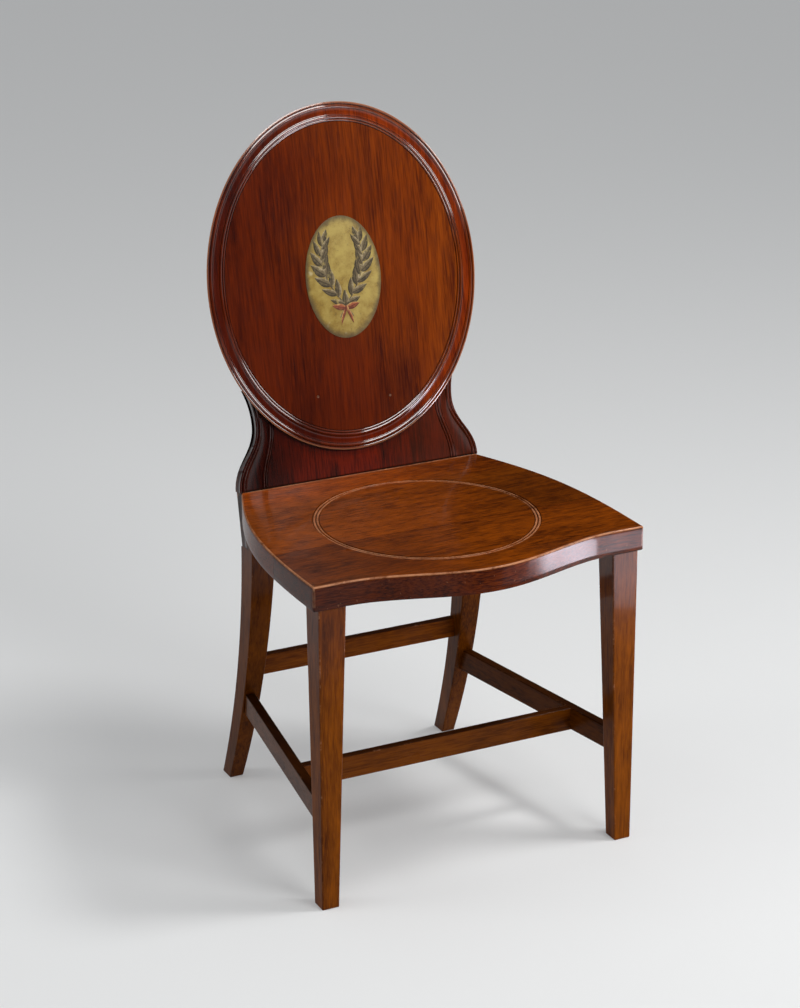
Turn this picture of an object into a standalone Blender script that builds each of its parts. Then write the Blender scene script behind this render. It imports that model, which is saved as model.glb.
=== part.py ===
"""Hall chair: oval moulded back, solid serpentine seat, tapered legs and four stretchers.

Metres, +Z up, the chair faces -Y. The frame of the chair starts on the floor below the line through
the seat's front corners, and an empty centres it on the world origin. The pieces of the back are
modelled upright, in a second empty that leans back by the rake from the seat's back edge.
"""

import math

import bmesh
import bpy
from mathutils import Matrix, Vector, geometry

# Clearance between pieces that touch
GAP = 0.0003

# Seat
SEAT_HEIGHT = 0.450
SEAT_THICKNESS = 0.0333
SEAT_FRONT_WIDTH = 0.475
SEAT_BACK_WIDTH = 0.359
SEAT_DEPTH = 0.353
SEAT_FRONT_BOW = 0.0405
SERPENTINE_WIDTH = 0.390
SIDE_FRONT_HANDLE = 0.165
SIDE_FRONT_FLARE = math.radians(1.0)
SIDE_BACK_HANDLE = 0.125
SIDE_BACK_ANGLE = math.radians(23.0)
SEAT_JOINT_DEPTH = 0.124
SEAT_EDGE_ROUND = 0.003
RING_CENTRE_DEPTH = 0.156
RING_RADIUS = 0.146
RING_BEAD = 0.0040
RING_QUIRK = 0.0012
RING_DEPTH = 0.0016

# Front legs
FRONT_LEG_INSET = 0.0072
FRONT_LEG_SETBACK = 0.001
FRONT_LEG_TOP = 0.038
FRONT_LEG_FOOT = 0.024
LEG_TENON_SHOULDER = 0.007
LEG_TENON_HEIGHT = 0.018

# Rear legs
REAR_LEG_REACH = 0.033
REAR_LEG_SWEEP = 0.0965
REAR_LEG_TOP_WIDTH = 0.0365
REAR_LEG_FOOT_WIDTH = 0.0200
REAR_LEG_TOP_DEPTH = 0.0385
REAR_LEG_FOOT_DEPTH = 0.0265
LEG_ARRIS = 0.0008
FOOT_CHAMFER = 0.0015

# Stretchers
STRETCHER_ARRIS = 0.0010
SIDE_STRETCHER_TOP = 0.151
SIDE_STRETCHER_HEIGHT = 0.032
SIDE_STRETCHER_THICKNESS = 0.0135
SIDE_STRETCHER_FRONT_INSET = 0.0018
SIDE_STRETCHER_REAR_INSET = 0.003
CROSS_STRETCHER_DEPTH_PLACE = 0.117
CROSS_STRETCHER_TOP = 0.1505
CROSS_STRETCHER_HEIGHT = 0.0325
CROSS_STRETCHER_THICKNESS = 0.0120
REAR_STRETCHER_TOP = 0.2015
REAR_STRETCHER_HEIGHT = 0.0290
REAR_STRETCHER_THICKNESS = 0.0115
REAR_STRETCHER_INSET = 0.003
TENON_SHOULDER = 0.003
BAR_EMBED = 0.008
LEG_MORTISE_DEPTH = 0.016
CROSS_MORTISE_DEPTH = 0.007

# Rear rail and the blocks and battens under the seat
RAIL_SETBACK = 0.0015
GLUE_BLOCK_SIZE = 0.018
GLUE_BLOCK_LENGTH = 0.050
GLUE_BLOCK_PLACE = 0.045
BATTEN_WIDTH = 0.040
BATTEN_HEIGHT = 0.018
BATTEN_PLACE = 0.115
BATTEN_FRONT = 0.050
BATTEN_REAR_ROOM = 0.0095
BATTEN_ARRIS = 0.002

# Screws and pins
SCREW_HEAD_RADIUS = 0.0045
SCREW_SHANK_RADIUS = 0.0022
SCREW_HEAD_DEPTH = 0.0030
SCREW_SINK = 0.0005
BATTEN_SCREW_LENGTH = 0.038
BATTEN_SCREW_MARGIN = 0.025
BACK_SCREW_LENGTH = 0.028
BACK_SCREW_PLACES = (0.066, 0.1665)
PIN_RADIUS = 0.0017
PIN_SPACING = 0.108
PIN_EDGE_DISTANCE = 0.0725
PIN_STAGGER = 0.0065

# Back
RAKE = math.radians(11.2)
BOARD_THICKNESS = 0.0165
OVAL_WIDTH = 0.3995
OVAL_HEIGHT = 0.472
OVAL_CENTRE = 0.271
OVAL_PROUD = 0.0015
EDGE_BEVEL = 0.0165
SPLAT_BASE_WIDTH = 0.362
SPLAT_WAIST_WIDTH = 0.297
SPLAT_TOP_WIDTH = 0.318
SPLAT_WAIST_HEIGHT = 0.087
SPLAT_TOP_HEIGHT = 0.135
SPLAT_BASE_HOLLOW = 0.0247
SPLAT_WAIST_HOLLOW = 0.0092
SPLAT_FOOT = 0.075
SPLAT_BEVEL = 0.010
OGEE_HANDLE = 0.038
TONGUE_WIDTH = 0.150
TONGUE_LAP = 0.115
TONGUE_THICKNESS = 0.0080
CARTOUCHE_WIDTH = 0.112
CARTOUCHE_HEIGHT = 0.166
PAINT_THICKNESS = 0.0004

# Moulded border of the oval and the splat, from the edge inwards
EDGE_BEAD = 0.0026
SHOULDER_BEAD = 0.0044
OVAL_HOLLOW = 0.0120
INNER_BEAD = 0.0038
FINE_BEAD = 0.0024
QUIRK = 0.0007
BEAD_BASE = 0.0010
EDGE_CREST = 0.0034
SHOULDER_CREST = 0.0042
INNER_CREST = 0.0030
FINE_CREST = 0.0020
HOLLOW_SAG = 0.0014

# Counts of facets
OVAL_SIDES = 80
RING_SIDES = 72
BEAD_STEPS = 4
TURNED_SIDES = 12
LEG_STEPS = 12
WAVE_STEPS = 24
SIDE_STEPS = 14
OGEE_STEPS = 10
FLARE_STEPS = 5

# Places that follow from the sizes above
SEAT_UNDERSIDE = SEAT_HEIGHT - SEAT_THICKNESS
LEG_TOP = SEAT_UNDERSIDE - GAP
FRONT_LEGS_WIDTH = SEAT_FRONT_WIDTH - 2 * FRONT_LEG_INSET
REAR_LEGS_WIDTH = SEAT_BACK_WIDTH
RAIL_FRONT = SEAT_DEPTH - REAR_LEG_REACH + RAIL_SETBACK
BATTEN_BACK = RAIL_FRONT - BATTEN_REAR_ROOM
OVAL_LOW = OVAL_CENTRE - OVAL_HEIGHT / 2
OVERCUT = 0.004
SIDES = ((-1, "left"), (1, "right"))


# Shapes


def add_loft(bm, rows, ring=False):
    """Skins closed loops of points in order, and caps both ends or joins them to a ring."""
    loops = [[bm.verts.new(point) for point in row] for row in rows]
    followers = loops[1:] + loops[:1] if ring else loops[1:]
    for near, far in zip(loops, followers):
        for k in range(len(near)):
            after = (k + 1) % len(near)
            bm.faces.new((near[k], near[after], far[after], far[k]))
    if not ring:
        bm.faces.new(list(reversed(loops[0])))
        bm.faces.new(loops[-1])


def chamfered(low_a, high_a, low_b, high_b, chamfer):
    """The eight corners of a rectangle with its corners taken off."""
    return [
        (low_a + chamfer, low_b),
        (high_a - chamfer, low_b),
        (high_a, low_b + chamfer),
        (high_a, high_b - chamfer),
        (high_a - chamfer, high_b),
        (low_a + chamfer, high_b),
        (low_a, high_b - chamfer),
        (low_a, low_b + chamfer),
    ]


def add_box(bm, low, high):
    corners = [(low[0], low[1]), (high[0], low[1]), (high[0], high[1]), (low[0], high[1])]
    add_loft(bm, [[(x, y, z) for x, y in corners] for z in (low[2], high[2])])


def add_bar(bm, half_length, thickness, height, arris):
    """A bar along X, centred, with its long edges eased."""
    section = chamfered(-thickness / 2, thickness / 2, -height / 2, height / 2, arris)
    add_loft(bm, [[(x, y, z) for y, z in section] for x in (-half_length, half_length)])


def turned_rows(profile, matrix):
    """Rings of a turned piece from (radius, height) pairs, placed by a matrix."""
    rows = []
    for radius, height in profile:
        turns = [2 * math.pi * k / TURNED_SIDES for k in range(TURNED_SIDES)]
        rows.append([matrix @ Vector((radius * math.cos(a), radius * math.sin(a), height)) for a in turns])
    return rows


def bead(start, width, base, crest):
    """A round bead as (distance, height) points."""
    angles = [math.pi * k / BEAD_STEPS for k in range(BEAD_STEPS + 1)]
    return [(start + width * (1 - math.cos(a)) / 2, base + (crest - base) * math.sin(a)) for a in angles]


def hollow(start, width):
    """The sunk points between two beads, without its ends."""
    shares = [k / BEAD_STEPS for k in range(1, BEAD_STEPS)]
    return [(start + width * s, BEAD_BASE - HOLLOW_SAG * math.sin(math.pi * s)) for s in shares]


FIXED_BORDER = EDGE_BEAD + SHOULDER_BEAD + INNER_BEAD + FINE_BEAD + 3 * QUIRK


def border(hollow_width):
    """The moulded border from the edge to the field, as (inset, height over the field) points."""
    points = bead(0, EDGE_BEAD, BEAD_BASE, EDGE_CREST)
    place = EDGE_BEAD + QUIRK
    points += bead(place, SHOULDER_BEAD, BEAD_BASE, SHOULDER_CREST)
    place += SHOULDER_BEAD
    points += hollow(place, hollow_width)
    place += hollow_width
    points += bead(place, INNER_BEAD, BEAD_BASE, INNER_CREST)
    place += INNER_BEAD + QUIRK
    points += bead(place, FINE_BEAD, BEAD_BASE / 2, FINE_CREST)
    return points + [(place + FINE_BEAD + QUIRK, 0)]


def oval_loop(inset, forward):
    """A loop parallel to the oval's edge, in the back's own frame."""
    points = []
    for k in range(OVAL_SIDES):
        angle = 2 * math.pi * k / OVAL_SIDES
        place = Vector((OVAL_WIDTH / 2 * math.cos(angle), OVAL_HEIGHT / 2 * math.sin(angle)))
        out = Vector((OVAL_HEIGHT * math.cos(angle), OVAL_WIDTH * math.sin(angle))).normalized()
        place -= inset * out
        points.append((place.x, -forward, OVAL_CENTRE + place.y))
    return points


def curve_value(start, start_handle, end_handle, end, share):
    """One coordinate of a cubic Bezier curve."""
    rest = 1 - share
    return (
        start * rest**3
        + 3 * start_handle * rest**2 * share
        + 3 * end_handle * rest * share**2
        + end * share**3
    )


# Objects


def material(name, colour, roughness, metallic=0.0):
    made = bpy.data.materials.new(name)
    made.use_nodes = True
    shader = made.node_tree.nodes["Principled BSDF"]
    shader.inputs["Base Color"].default_value = (*colour, 1.0)
    shader.inputs["Roughness"].default_value = roughness
    shader.inputs["Metallic"].default_value = metallic
    return made


def new_object(name, bm, parent, finish=None):
    bmesh.ops.recalc_face_normals(bm, faces=bm.faces)
    mesh = bpy.data.meshes.new(name)
    bm.to_mesh(mesh)
    bm.free()
    mesh.shade_smooth()
    mesh.set_sharp_from_angle(angle=math.radians(35))
    made = bpy.data.objects.new(name, mesh)
    bpy.context.scene.collection.objects.link(made)
    made.parent = parent
    if finish:
        mesh.materials.append(finish)
    return made


def new_cutter(name, bm, parent):
    made = new_object(name, bm, parent)
    made.hide_render = True
    made.display_type = "WIRE"
    return made


def combine(target, tool, operation):
    modifier = target.modifiers.new(f"{operation.lower()}_{tool.name}"[:60], "BOOLEAN")
    modifier.operation = operation
    modifier.object = tool
    modifier.solver = "EXACT"


def cut(target, *tools):
    for tool in tools:
        combine(target, tool, "DIFFERENCE")


def join(target, tool):
    combine(target, tool, "UNION")


def box_cutter(name, low, high, parent):
    bm = bmesh.new()
    add_box(bm, low, high)
    return new_cutter(name, bm, parent)


# Seat


def seat_outline():
    """The seat's plan, from the front left corner round to the left side."""
    half_front = SEAT_FRONT_WIDTH / 2
    half_back = SEAT_BACK_WIDTH / 2
    half_wave = SERPENTINE_WIDTH / 2
    front = [(-half_front, 0.0)]
    for k in range(WAVE_STEPS + 1):
        x = -half_wave + SERPENTINE_WIDTH * k / WAVE_STEPS
        front.append((x, -SEAT_FRONT_BOW * math.cos(math.pi * x / SERPENTINE_WIDTH) ** 2))
    corner = Vector((half_front, 0.0))
    back = Vector((half_back, SEAT_DEPTH))
    flare = Vector((math.sin(SIDE_FRONT_FLARE), math.cos(SIDE_FRONT_FLARE)))
    turn_in = Vector((math.sin(SIDE_BACK_ANGLE), -math.cos(SIDE_BACK_ANGLE)))
    side = geometry.interpolate_bezier(
        corner, corner + SIDE_FRONT_HANDLE * flare, back + SIDE_BACK_HANDLE * turn_in, back, SIDE_STEPS
    )
    right = [(point.x, point.y) for point in side]
    left = [(-x, y) for x, y in reversed(right[1:])]
    return front + right + left


def seat_mesh():
    """The whole seat before it is parted into two boards, with its top edge rounded."""
    bm = bmesh.new()
    outline = seat_outline()
    add_loft(bm, [[(x, y, z) for x, y in outline] for z in (SEAT_UNDERSIDE, SEAT_HEIGHT)])
    rounded = []
    for edge in bm.edges:
        ends = [vert.co for vert in edge.verts]
        on_top = all(abs(end.z - SEAT_HEIGHT) < GAP for end in ends)
        at_back = all(abs(end.y - SEAT_DEPTH) < GAP for end in ends)
        if on_top and not at_back:
            rounded.append(edge)
    bmesh.ops.bevel(
        bm,
        geom=rounded,
        offset=SEAT_EDGE_ROUND,
        offset_type="OFFSET",
        segments=2,
        profile=0.5,
        affect="EDGES",
    )
    return bm


def ring_cutter(frame):
    """The two flush beads of the seat's ring, as the hollow shape that a scratch tool leaves."""
    half = RING_BEAD + 1.5 * RING_QUIRK
    bottom = [(-half, 0.0), (-half + RING_QUIRK / 2, -RING_DEPTH)]
    for side in (-1, 1):
        start = -RING_QUIRK / 2 - RING_BEAD if side < 0 else RING_QUIRK / 2
        bottom += [(d, z) for d, z in bead(start, RING_BEAD, -RING_DEPTH, -GAP)]
    bottom += [(half - RING_QUIRK / 2, -RING_DEPTH), (half, 0.0)]
    profile = bottom + [(half, RING_DEPTH), (-half, RING_DEPTH)]
    rows = []
    for k in range(RING_SIDES):
        angle = 2 * math.pi * k / RING_SIDES
        rows.append(
            [
                (
                    (RING_RADIUS + d) * math.cos(angle),
                    RING_CENTRE_DEPTH + (RING_RADIUS + d) * math.sin(angle),
                    SEAT_HEIGHT + z,
                )
                for d, z in profile
            ]
        )
    bm = bmesh.new()
    add_loft(bm, rows, ring=True)
    return new_cutter("ring_cutter", bm, frame)


# Legs


def front_leg_section(z, side, grow=0.0):
    """One level of a front leg: the outer and front faces are upright, the inner two taper."""
    size = FRONT_LEG_FOOT + (FRONT_LEG_TOP - FRONT_LEG_FOOT) * z / LEG_TOP
    outer = FRONT_LEGS_WIDTH / 2
    shrink = FOOT_CHAMFER if z == 0 and not grow else 0.0
    low_x, high_x = outer - size - grow + shrink, outer + grow - shrink
    low_y = FRONT_LEG_SETBACK - grow + shrink
    high_y = FRONT_LEG_SETBACK + size + grow - shrink
    return [(side * x, y, z) for x, y in chamfered(low_x, high_x, low_y, high_y, LEG_ARRIS)]


def front_leg_tenon(side, grow=0.0):
    outer = FRONT_LEGS_WIDTH / 2
    reach = LEG_TENON_SHOULDER - grow
    low_x, high_x = outer - FRONT_LEG_TOP + reach, outer - reach
    low_y, high_y = FRONT_LEG_SETBACK + reach, FRONT_LEG_SETBACK + FRONT_LEG_TOP - reach
    return [(side * x, y) for x, y in chamfered(low_x, high_x, low_y, high_y, LEG_ARRIS)]


def rear_leg_sides(z):
    """Inner face, front face and back face of a rear leg at one level."""
    share = 1 - z / LEG_TOP
    inner = REAR_LEGS_WIDTH / 2 - REAR_LEG_TOP_WIDTH + (REAR_LEG_TOP_WIDTH - REAR_LEG_FOOT_WIDTH) * share
    front = SEAT_DEPTH - REAR_LEG_REACH + REAR_LEG_SWEEP * share**2
    back = front + REAR_LEG_TOP_DEPTH + (REAR_LEG_FOOT_DEPTH - REAR_LEG_TOP_DEPTH) * share
    return inner, front, back


def rear_leg_section(z, side, grow=0.0):
    inner, front, back = rear_leg_sides(z)
    outer = REAR_LEGS_WIDTH / 2
    shrink = FOOT_CHAMFER if z == 0 and not grow else 0.0
    section = chamfered(
        inner - grow + shrink, outer + grow - shrink, front - grow + shrink, back + grow - shrink, LEG_ARRIS
    )
    return [(side * x, y, z) for x, y in section]


def splat_face_depth(z):
    """Where the splat's front face stands at a level, measured from the seat's front corners."""
    return SEAT_DEPTH - (SEAT_HEIGHT - z) * math.tan(RAKE)


def rear_leg_tenon(side, grow=0.0):
    inner, front, _ = rear_leg_sides(LEG_TOP)
    reach = LEG_TENON_SHOULDER - grow
    outer, back = REAR_LEGS_WIDTH / 2, splat_face_depth(LEG_TOP)
    section = chamfered(inner + reach, outer - reach, front + reach, back - reach, LEG_ARRIS)
    return [(side * x, y) for x, y in section]


def leg_levels():
    return [0.0, FOOT_CHAMFER] + [LEG_TOP * k / LEG_STEPS for k in range(1, LEG_STEPS + 1)]


def make_leg(name, section, tenon, levels, side, frame, finish):
    """A leg with its tenon, the mortise cutter for the seat and a slightly larger copy to trim the bars."""
    top = LEG_TOP + LEG_TENON_HEIGHT
    rows = [section(z, side) for z in levels]
    rows += [[(x, y, z) for x, y in tenon(side)] for z in (LEG_TOP, top)]
    bm = bmesh.new()
    add_loft(bm, rows)
    leg = new_object(name, bm, frame, finish)
    bm = bmesh.new()
    reach = (LEG_TOP - OVERCUT, top + GAP)
    add_loft(bm, [[(x, y, z) for x, y in tenon(side, GAP)] for z in reach])
    mortise = new_cutter(f"{name}_mortise", bm, frame)
    bm = bmesh.new()
    add_loft(bm, [section(z, side, GAP) for z in levels])
    trimmer = new_cutter(f"{name}_trimmer", bm, frame)
    return leg, mortise, trimmer


# Stretchers and rail


def side_stretcher_line():
    """Plan of the right side stretcher's middle line: its middle, half length and direction."""
    middle_z = SIDE_STRETCHER_TOP - SIDE_STRETCHER_HEIGHT / 2
    front_size = FRONT_LEG_FOOT + (FRONT_LEG_TOP - FRONT_LEG_FOOT) * middle_z / LEG_TOP
    start = Vector((FRONT_LEGS_WIDTH / 2 - SIDE_STRETCHER_FRONT_INSET, FRONT_LEG_SETBACK + front_size))
    end = Vector((REAR_LEGS_WIDTH / 2 - SIDE_STRETCHER_REAR_INSET, rear_leg_sides(middle_z)[1]))
    along = (end - start).normalized()
    inwards = Vector((-along.y, along.x))
    middle = (start + end) / 2 + inwards * SIDE_STRETCHER_THICKNESS / 2
    return middle, (end - start).length / 2, along


def side_stretcher_inner(depth):
    """Half the clear width between the side stretchers at one depth."""
    middle, _, along = side_stretcher_line()
    slant = along.x / along.y
    return middle.x + (depth - middle.y) * slant - SIDE_STRETCHER_THICKNESS / 2 / along.y


def bar_with_tenons(name, placing, half_length, thickness, height, embed, tenon, trimmers, frame, finish):
    """A bar trimmed to what it meets, its tenons, and the cutter for both mortises."""
    location, turn = placing
    bm = bmesh.new()
    add_bar(bm, half_length + embed, thickness, height, STRETCHER_ARRIS)
    bar = new_object(name, bm, frame, finish)
    bm = bmesh.new()
    add_bar(bm, half_length + tenon, thickness - 2 * TENON_SHOULDER, height - 2 * TENON_SHOULDER, LEG_ARRIS)
    tongue = new_cutter(f"{name}_tenons", bm, frame)
    bm = bmesh.new()
    add_bar(
        bm,
        half_length + tenon + GAP,
        thickness - 2 * TENON_SHOULDER + 2 * GAP,
        height - 2 * TENON_SHOULDER + 2 * GAP,
        LEG_ARRIS,
    )
    mortises = new_cutter(f"{name}_mortises", bm, frame)
    for made in (bar, tongue, mortises):
        made.location = location
        made.rotation_euler.z = turn
    cut(bar, *trimmers)
    join(bar, tongue)
    return bar, mortises


# Back


def splat_stations():
    """Levels of the moulded splat: height, half width, width of its hollow and its back bevel."""
    base, waist, top = SPLAT_BASE_WIDTH / 2, SPLAT_WAIST_WIDTH / 2, SPLAT_TOP_WIDTH / 2
    broad, narrow = SPLAT_BASE_HOLLOW, SPLAT_WAIST_HOLLOW
    stations = []
    for k in range(OGEE_STEPS + 1):
        share = k / OGEE_STEPS
        height = curve_value(GAP, OGEE_HANDLE, SPLAT_WAIST_HEIGHT - OGEE_HANDLE, SPLAT_WAIST_HEIGHT, share)
        half = curve_value(base, base, waist, waist, share)
        wide = curve_value(broad, broad, narrow, narrow, share)
        bevel = curve_value(LEG_ARRIS, LEG_ARRIS, SPLAT_BEVEL, SPLAT_BEVEL, share)
        stations.append((height, half, wide, bevel))
    for k in range(1, FLARE_STEPS + 1):
        share = k / FLARE_STEPS
        height = SPLAT_WAIST_HEIGHT + (SPLAT_TOP_HEIGHT - SPLAT_WAIST_HEIGHT) * share
        stations.append((height, waist + (top - waist) * share**2, narrow, SPLAT_BEVEL))
    return stations


def splat_row(height, half, hollow_width, bevel, moulded):
    """One level section of the splat, from its left back corner round the front to the right one."""
    left = [(-half + bevel, BOARD_THICKNESS), (-half, BOARD_THICKNESS - bevel)]
    for inset, rise in border(hollow_width):
        left.append((-half + inset, SHOULDER_CREST - rise if moulded else 0.0))
    right = [(-x, y) for x, y in reversed(left)]
    return [(x, y, height) for x, y in left + right]


def make_splat(back, finish):
    stations = splat_stations()
    half_foot = SEAT_BACK_WIDTH / 2
    rows = [splat_row(z, half_foot, SPLAT_BASE_HOLLOW, LEG_ARRIS, False) for z in (-SPLAT_FOOT, -GAP)]
    rows += [splat_row(*station, True) for station in stations]
    bm = bmesh.new()
    add_loft(bm, rows)
    splat = new_object("lower_splat", bm, back, finish)

    edge_forward = OVAL_PROUD + BEAD_BASE
    slope = EDGE_BEVEL / (BOARD_THICKNESS + edge_forward)
    past_back = BOARD_THICKNESS + OVERCUT
    bm = bmesh.new()
    add_loft(
        bm,
        [
            oval_loop(slope * (past_back + edge_forward) - 2 * GAP, -past_back),
            oval_loop(-2 * GAP, edge_forward),
            oval_loop(-2 * GAP, edge_forward + OVERCUT),
        ],
    )
    cut(splat, new_cutter("oval_trimmer", bm, back))

    root, tip = OVAL_LOW - EDGE_BEVEL, OVAL_LOW + TONGUE_LAP
    half = TONGUE_WIDTH / 2
    front = BOARD_THICKNESS - TONGUE_THICKNESS
    low, high = (-half, front, root), (half, BOARD_THICKNESS - SCREW_SINK, tip)
    join(splat, box_cutter("splat_tongue", low, high, back))
    low, high = (-half - GAP, front - GAP, root), (half + GAP, BOARD_THICKNESS + OVERCUT, tip + GAP)
    housing = box_cutter("tongue_housing", low, high, back)
    return splat, housing


def make_oval(back, finish):
    rows = [oval_loop(EDGE_BEVEL, -BOARD_THICKNESS)]
    rows += [oval_loop(inset, OVAL_PROUD + rise) for inset, rise in border(OVAL_HOLLOW)]
    bm = bmesh.new()
    add_loft(bm, rows)
    return new_object("oval_panel", bm, back, finish)


def make_cartouche(back, finish):
    near = OVAL_PROUD + GAP
    rows = []
    for forward in (near, near + PAINT_THICKNESS):
        row = []
        for k in range(OVAL_SIDES // 2):
            angle = 4 * math.pi * k / OVAL_SIDES
            x, z = CARTOUCHE_WIDTH / 2 * math.cos(angle), CARTOUCHE_HEIGHT / 2 * math.sin(angle)
            row.append((x, -forward, OVAL_CENTRE + z))
        rows.append(row)
    bm = bmesh.new()
    add_loft(bm, rows)
    return new_object("painted_cartouche", bm, back, finish)


# Fasteners


def screw_profile(length, grow=0.0):
    """A countersunk screw from its head upwards; a grown one reaches out past its head, for its hole."""
    head, shank = SCREW_HEAD_RADIUS + grow, SCREW_SHANK_RADIUS + grow
    profile = [(head, -OVERCUT)] if grow else []
    profile += [(head, 0.0), (shank, SCREW_HEAD_DEPTH), (shank, length - 2 * SCREW_SHANK_RADIUS)]
    return profile + [(shank / TURNED_SIDES, length + grow)]


def add_fasteners(places, turn, profile, holes, parent, finish):
    """Like fasteners, one object for each named place, and one cutter for all their holes."""
    bores = bmesh.new()
    for name, place in places.items():
        bm = bmesh.new()
        add_loft(bm, turned_rows(profile, Matrix()))
        made = new_object(name, bm, parent, finish)
        made.location = place
        made.rotation_euler.x = turn
        add_loft(bores, turned_rows(holes, Matrix.Translation(place) @ Matrix.Rotation(turn, 4, "X")))
    return new_cutter(f"{name}_holes", bores, parent)


def main():
    for obj in list(bpy.data.objects):
        bpy.data.objects.remove(obj, do_unlink=True)

    panel_wood = material("panel_mahogany", (0.135, 0.030, 0.012), 0.28)
    splat_wood = material("splat_mahogany", (0.120, 0.022, 0.009), 0.28)
    seat_wood = material("seat_mahogany", (0.230, 0.080, 0.020), 0.25)
    leg_wood = material("leg_mahogany", (0.170, 0.055, 0.018), 0.32)
    hidden_wood = material("plain_beech", (0.330, 0.200, 0.095), 0.70)
    pin_wood = material("pin_wood", (0.360, 0.180, 0.080), 0.45)
    paint = material("ochre_paint", (0.380, 0.290, 0.095), 0.45)
    iron = material("screw_iron", (0.120, 0.110, 0.100), 0.50, 1.0)

    top_of_oval = OVAL_CENTRE + OVAL_HEIGHT / 2 - EDGE_BEVEL
    back_reach = SEAT_DEPTH + top_of_oval * math.sin(RAKE) + BOARD_THICKNESS * math.cos(RAKE)
    middle = (max(back_reach, rear_leg_sides(FOOT_CHAMFER)[2]) - SEAT_FRONT_BOW) / 2
    frame = bpy.data.objects.new("chair_frame", None)
    back = bpy.data.objects.new("back_frame", None)
    for empty in (frame, back):
        bpy.context.scene.collection.objects.link(empty)
    frame.location.y = -middle
    back.parent = frame
    back.location = (0.0, SEAT_DEPTH, SEAT_HEIGHT)
    back.rotation_euler.x = -RAKE

    # Legs
    wide = SEAT_FRONT_WIDTH
    low, high = (-wide, -GAP, -SPLAT_FOOT - GAP), (wide, BOARD_THICKNESS + wide, SEAT_THICKNESS)
    splat_room = box_cutter("splat_room", low, high, back)
    legs, mortises, trimmers = {}, {}, {}
    for side, word in SIDES:
        levels = [0.0, FOOT_CHAMFER, LEG_TOP]
        key = f"front_leg_{word}"
        legs[key], mortises[key], trimmers[key] = make_leg(
            key, front_leg_section, front_leg_tenon, levels, side, frame, leg_wood
        )
        key = f"rear_leg_{word}"
        legs[key], mortises[key], trimmers[key] = make_leg(
            key, rear_leg_section, rear_leg_tenon, leg_levels(), side, frame, leg_wood
        )
        cut(legs[key], splat_room)

    # Seat boards, parted at the joint
    ring = ring_cutter(frame)
    boards = {}
    joint_front, joint_rear = SEAT_JOINT_DEPTH - GAP / 2, SEAT_JOINT_DEPTH + GAP / 2
    for word, near, far in (("front", joint_front, wide), ("rear", -wide, joint_rear)):
        board = new_object(f"seat_{word}_board", seat_mesh(), frame, seat_wood)
        other = box_cutter(f"seat_{word}_parting", (-wide, near, 0.0), (wide, far, 2 * SEAT_HEIGHT), frame)
        cut(board, other, mortises[f"{word}_leg_left"], mortises[f"{word}_leg_right"], ring)
        boards[word] = board
    cut(boards["rear"], splat_room)

    # Stretchers
    middle, half_length, along = side_stretcher_line()
    middle_z = SIDE_STRETCHER_TOP - SIDE_STRETCHER_HEIGHT / 2
    side_bars, side_trimmers = [], []
    for side, word in SIDES:
        placing = ((side * middle.x, middle.y, middle_z), math.atan2(along.y, side * along.x))
        ends = [trimmers[f"{end}_leg_{word}"] for end in ("front", "rear")]
        bar, slots = bar_with_tenons(
            f"side_stretcher_{word}",
            placing,
            half_length,
            SIDE_STRETCHER_THICKNESS,
            SIDE_STRETCHER_HEIGHT,
            BAR_EMBED,
            LEG_MORTISE_DEPTH,
            ends,
            frame,
            leg_wood,
        )
        for end in ("front", "rear"):
            cut(legs[f"{end}_leg_{word}"], slots)
        bm = bmesh.new()
        grown = SIDE_STRETCHER_THICKNESS + 2 * GAP
        add_bar(bm, half_length, grown, SIDE_STRETCHER_HEIGHT + 2 * GAP, STRETCHER_ARRIS)
        trimmer = new_cutter(f"side_stretcher_{word}_trimmer", bm, frame)
        trimmer.location, trimmer.rotation_euler.z = placing
        side_bars.append(bar)
        side_trimmers.append(trimmer)

    depth = CROSS_STRETCHER_DEPTH_PLACE + CROSS_STRETCHER_THICKNESS / 2
    level = CROSS_STRETCHER_TOP - CROSS_STRETCHER_HEIGHT / 2
    _, slots = bar_with_tenons(
        "cross_stretcher",
        ((0.0, depth, level), 0.0),
        side_stretcher_inner(depth),
        CROSS_STRETCHER_THICKNESS,
        CROSS_STRETCHER_HEIGHT,
        BAR_EMBED / 2,
        CROSS_MORTISE_DEPTH,
        side_trimmers,
        frame,
        leg_wood,
    )
    for bar in side_bars:
        cut(bar, slots)

    rear_trimmers = [trimmers["rear_leg_left"], trimmers["rear_leg_right"]]
    level = REAR_STRETCHER_TOP - REAR_STRETCHER_HEIGHT / 2
    inner, _, leg_back = rear_leg_sides(level)
    depth = leg_back - REAR_STRETCHER_INSET - REAR_STRETCHER_THICKNESS / 2
    _, slots = bar_with_tenons(
        "rear_stretcher",
        ((0.0, depth, level), 0.0),
        inner,
        REAR_STRETCHER_THICKNESS,
        REAR_STRETCHER_HEIGHT,
        BAR_EMBED,
        LEG_MORTISE_DEPTH,
        rear_trimmers,
        frame,
        leg_wood,
    )
    for word in ("left", "right"):
        cut(legs[f"rear_leg_{word}"], slots)

    # Rear rail, from the foot of the splat up to the seat
    rail_low = SEAT_HEIGHT - SPLAT_FOOT * math.cos(RAKE)
    rail_height = LEG_TOP - rail_low
    level = (rail_low + LEG_TOP) / 2
    inner, _, _ = rear_leg_sides(level)
    rail_depth = splat_face_depth(rail_low) - RAIL_FRONT
    rail, slots = bar_with_tenons(
        "rear_rail",
        ((0.0, RAIL_FRONT + rail_depth / 2, level), 0.0),
        inner,
        rail_depth,
        rail_height,
        BAR_EMBED,
        LEG_MORTISE_DEPTH,
        rear_trimmers,
        frame,
        hidden_wood,
    )
    cut(rail, splat_room)
    for word in ("left", "right"):
        cut(legs[f"rear_leg_{word}"], slots)

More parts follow.
